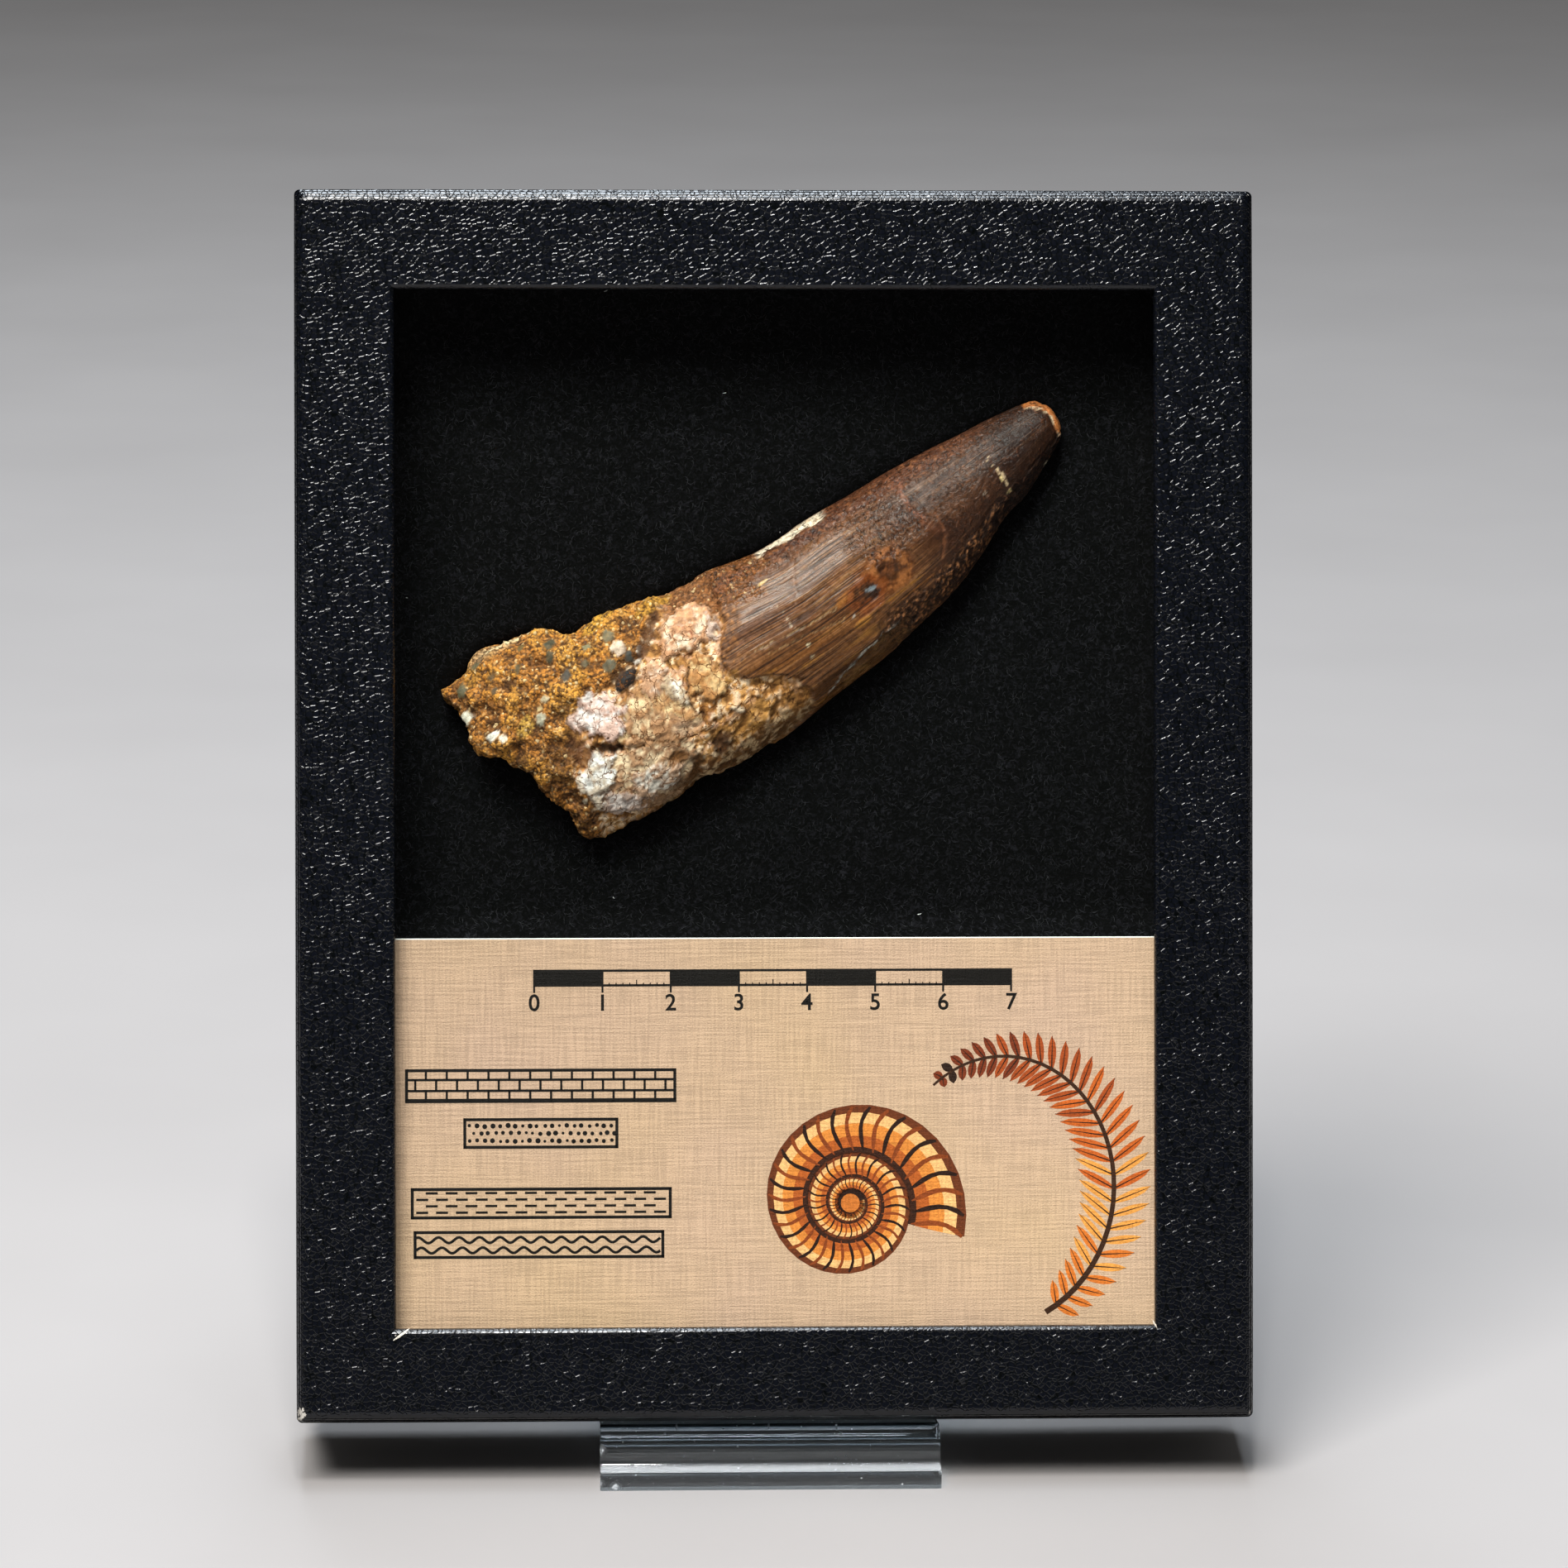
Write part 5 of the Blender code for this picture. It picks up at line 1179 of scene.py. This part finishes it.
for mask, pattern, *ends in (("sandy", drawn["Blue"], 0.88, 0.94, 0.0, -0.45),
                             ("strands", strand, 0.3, 0.7, 0.16, -0.08)):
    part = add_node(tree, "MapRange", (pattern, *ends))[0]
    rough = add_node(tree, "Math", (part, masks[mask], rough), operation="MULTIPLY_ADD")[0]
shader = add_node(tree, "BsdfPrincipled", {"Base Color": colour, "Roughness": rough, "Normal": bump,
                                           "IOR": 1.55, "Specular IOR Level": 0.25})
add_node(tree, "OutputMaterial", {"Surface": shader[0]})
edit(tooth)
finish(tooth, fossil, angle=180)
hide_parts("fossil_tooth")

# The easel: one strip of clear acrylic sheet, sawn, polished on its edges and bent hot over a former
# into a foot, a riser, a leaning shelf and back, and a rear leg. The case rests on the shelf.
STRIP_WIDTH, STRIP_MIDDLE, STRIP_THICK = 50 * MM, -0.8 * MM, 2.8 * MM
BEND, BEND_STEPS, STRIP_EDGE = 2.2 * MM, 12, 0.22 * MM
EASEL_REACH, EASEL_BACK, SHELF_GAP, SHEET_GAP = 43.99 * MM, 92 * MM, 1.1 * MM, 0.3 * MM
RISER_SET_BACK, FOOT_PROUD = 2 * MM, 1 * MM
CHIPS = (((-0.0258, -0.0412, 0.0052), 1.3), ((-0.0258, -0.0436, 0.0012), 1.0),
         ((-0.0236, -0.0440, 0.0006), 1.1), ((0.0242, -0.0440, 0.0026), 0.6))
acrylic, tree = new_material("clear cast acrylic, polished, a few scratches")
place = millimetres(tree)
turned = add_node(tree, "Mapping", {"Vector": place, "Rotation": (0.0, 0.7, 0.4),
                                    "Scale": (1.0, 0.06, 1.0)})[0]
lines = add_node(tree, "TexNoise", {"Vector": turned, "Scale": 3.5, "Detail": 2.0, "Distortion": 0.3})["Fac"]
lines = add_node(tree, "MapRange", (lines, 0.74, 0.78, 0.0, 0.3))["Result"]
specks = add_node(tree, "TexVoronoi", {"Vector": place, "Scale": 0.45})["Distance"]
specks = add_node(tree, "MapRange", (specks, 0.09, 0.05, 0.0, 0.6))["Result"]
worn = near(tree, place, CHIPS)
rough = 0.0
for mark in (lines, specks, worn):
    rough = add_node(tree, "Math", (rough, mark), operation="MAXIMUM")[0]
rough = add_node(tree, "Math", (rough, 0.02), operation="ADD")[0]
clear = add_node(tree, "BsdfPrincipled", {"Base Color": "#F6F9FC", "Roughness": rough, "IOR": 1.49,
                                          "Transmission Weight": 1.0})
frost = add_node(tree, "BsdfDiffuse", {"Color": "#DCE3E8"})
chipped = add_node(tree, "TexNoise", {"Vector": place, "Scale": 3.0, "Detail": 3.0})["Fac"]
chipped = add_node(tree, "Math", (worn, chipped), operation="MULTIPLY")[0]
chipped = add_node(tree, "MapRange", (chipped, 0.36, 0.5, 0.012, 0.6))["Result"]
solid = add_node(tree, "MixShader", (chipped, clear[0], frost[0]))
lamp_way = add_node(tree, "BsdfTransparent", {"Color": "#E6ECEF"})
from_lamp = add_node(tree, "LightPath")["Is Shadow Ray"]
shader = add_node(tree, "MixShader", (from_lamp, solid[0], lamp_way[0]))
add_node(tree, "OutputMaterial", {"Surface": shader[0]})


def beside_case(depth, height):
    """A point of the leaning case's side view, as Y and Z."""
    point = LEANING @ Vector((0, depth, height))
    return Vector((point.y, point.z))


half_sheet = STRIP_THICK / 2
shelf_depth, shelf_height = CASE_DEPTH + SHEET_GAP + half_sheet, -SHELF_GAP - half_sheet
riser_y = CASE_FOOT.y + RISER_SET_BACK + half_sheet
riser_depth = (riser_y - CASE_FOOT.y - shelf_height * math.sin(CASE_LEAN)) / math.cos(CASE_LEAN)
back_top = beside_case(shelf_depth, EASEL_BACK)
leg_way = Vector((EASEL_REACH - back_top.x - half_sheet, -back_top.y)).normalized()
corners = [
    Vector((CASE_FOOT.y - FOOT_PROUD, half_sheet)),
    Vector((riser_y, half_sheet)),
    beside_case(riser_depth, shelf_height),
    beside_case(shelf_depth, shelf_height),
    back_top,
    Vector((EASEL_REACH - half_sheet / abs(leg_way.y), 0)) + leg_way * STRIP_THICK,
]
bpy.ops.object.select_all(action="DESELECT")
bpy.ops.mesh.primitive_plane_add(size=1, rotation=(math.pi / 2, 0, 0))
easel = bpy.context.object
easel.name = "acrylic_easel"
easel.location = (STRIP_MIDDLE, corners[0].x, corners[0].y)
easel.scale = (STRIP_WIDTH, STRIP_THICK, 1)
bpy.ops.object.transform_apply(location=True, rotation=True, scale=True)
edit(easel)
bpy.ops.mesh.select_all(action="SELECT")
start = corners[0]
for before, corner, after in zip(corners, corners[1:], corners[2:] + [None]):
    arriving = (corner - before).normalized()
    end, turn = corner, 0.0
    if after is not None:
        turn = -arriving.angle_signed((after - corner).normalized())
        end = corner - arriving * BEND * math.tan(abs(turn) / 2)
    run = end - start
    bpy.ops.mesh.extrude_region_move(TRANSFORM_OT_translate={"value": (0, run.x, run.y)})
    if after is not None:
        centre = end + Vector((-arriving.y, arriving.x)) * math.copysign(BEND, turn)
        bpy.ops.mesh.spin(steps=BEND_STEPS, angle=-turn, center=(0, centre.x, centre.y), axis=(1, 0, 0))
        start = corner + (after - corner).normalized() * BEND * math.tan(abs(turn) / 2)
bpy.ops.mesh.select_all(action="SELECT")
bpy.ops.mesh.bisect(plane_co=(0, 0, 0), plane_no=(0, 0, 1), use_fill=True, clear_inner=True)
pick("FACE", lambda f: True)
bpy.ops.mesh.normals_make_consistent(inside=False)
pick("EDGE", lambda e: len(e.link_faces) == 2 and e.calc_face_angle(0) > math.radians(60)
     and all(v.co.z > 0.4 * STRIP_EDGE or v.co.y < 0 for v in e.verts))
bpy.ops.mesh.bevel(offset=STRIP_EDGE, segments=2, affect="EDGES")
finish(easel, acrylic, lean=False, angle=18)
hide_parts("easel_stand")

# The studio: a pale floor that ends far off, a large softbox high at the left, a small lamp in front, a long
# softbox overhead for the gloss of the leatherette and acrylic, and a camera that looks at the window.
FLOOR = 8.0
floor_paint, tree = new_material("pale matt studio floor")
tone = add_node(tree, "TexNoise", {"Vector": millimetres(tree), "Scale": 0.01, "Detail": 3.0})["Fac"]
colour = add_node(tree, "ValToRGB", {"Fac": tone}, stops=((0.3, "#848180"), (0.7, "#888584")))[0]
shader = add_node(tree, "BsdfPrincipled", {"Base Color": colour, "Roughness": 0.9})
add_node(tree, "OutputMaterial", {"Surface": shader[0]})
bpy.ops.object.select_all(action="DESELECT")
bpy.ops.mesh.primitive_plane_add(size=FLOOR)
floor = bpy.context.object
floor.name = "studio_floor"
floor.data.materials.append(floor_paint)

world = bpy.data.worlds.new("pale studio walls")
bpy.context.scene.world = world
world.use_nodes = True
tree = world.node_tree
tree.nodes.clear()
in_gloss = add_node(tree, "LightPath")["Is Glossy Ray"]
strength = add_node(tree, "MapRange", (in_gloss, 0.0, 1.0, 0.24, 0.015))["Result"]
walls = add_node(tree, "Background", {"Color": "#E8E6E3", "Strength": strength})
add_node(tree, "OutputWorld", {"Surface": walls[0]})

for name, place, aim, size, power, tint in (
        ("softbox at the left", (-0.38, -0.65, 1.22), (0, 0, 0.1), (0.6, 0.6), 34, (1.0, 0.98, 0.95)),
        ("small lamp in front", (-0.02, -0.45, 1.15), (0, -0.02, 0.1), (0.06, 0.2), 6, (1.0, 1.0, 1.0)),
        ("softbox overhead", (-0.03, 0.3, 1.25), (-0.01, -0.02, 0.15), (0.35, 1.3), 26, (0.84, 0.92, 1.0))):
    lamp = bpy.data.lights.new(name, "AREA")
    lamp.shape = "RECTANGLE"
    lamp.size, lamp.size_y = size
    lamp.energy = power
    lamp.color = tint
    holder = bpy.data.objects.new(name, lamp)
    holder.location = place
    holder.rotation_euler = (Vector(aim) - Vector(place)).to_track_quat("-Z", "Y").to_euler()
    bpy.context.collection.objects.link(holder)

CAMERA_AIM, CAMERA_AWAY, CAMERA_LENS = (1.19 * MM, 93.05 * MM), 0.9, 141.565
yaw, pitch, roll = (math.radians(a) for a in (2.483, 0.43, -0.095))
turned = LEANING.to_3x3()
across, outward, upward = turned.col[0], -turned.col[1], turned.col[2]
back = (outward * math.cos(yaw) - across * math.sin(yaw)) * math.cos(pitch) + upward * math.sin(pitch)
right = upward.cross(back).normalized()
above = back.cross(right)
right, above = (right * math.cos(roll) + above * math.sin(roll),
                above * math.cos(roll) - right * math.sin(roll))
eye = LEANING @ Vector((CAMERA_AIM[0], 0, CAMERA_AIM[1])) + back * CAMERA_AWAY
camera = bpy.data.objects.new("camera", bpy.data.cameras.new("camera"))
camera.data.lens = CAMERA_LENS
camera.matrix_world = Matrix.Translation(eye) @ Matrix((right, above, back)).transposed().to_4x4()
bpy.context.collection.objects.link(camera)
bpy.context.scene.camera = camera
bpy.context.scene.view_settings.view_transform = "Standard"
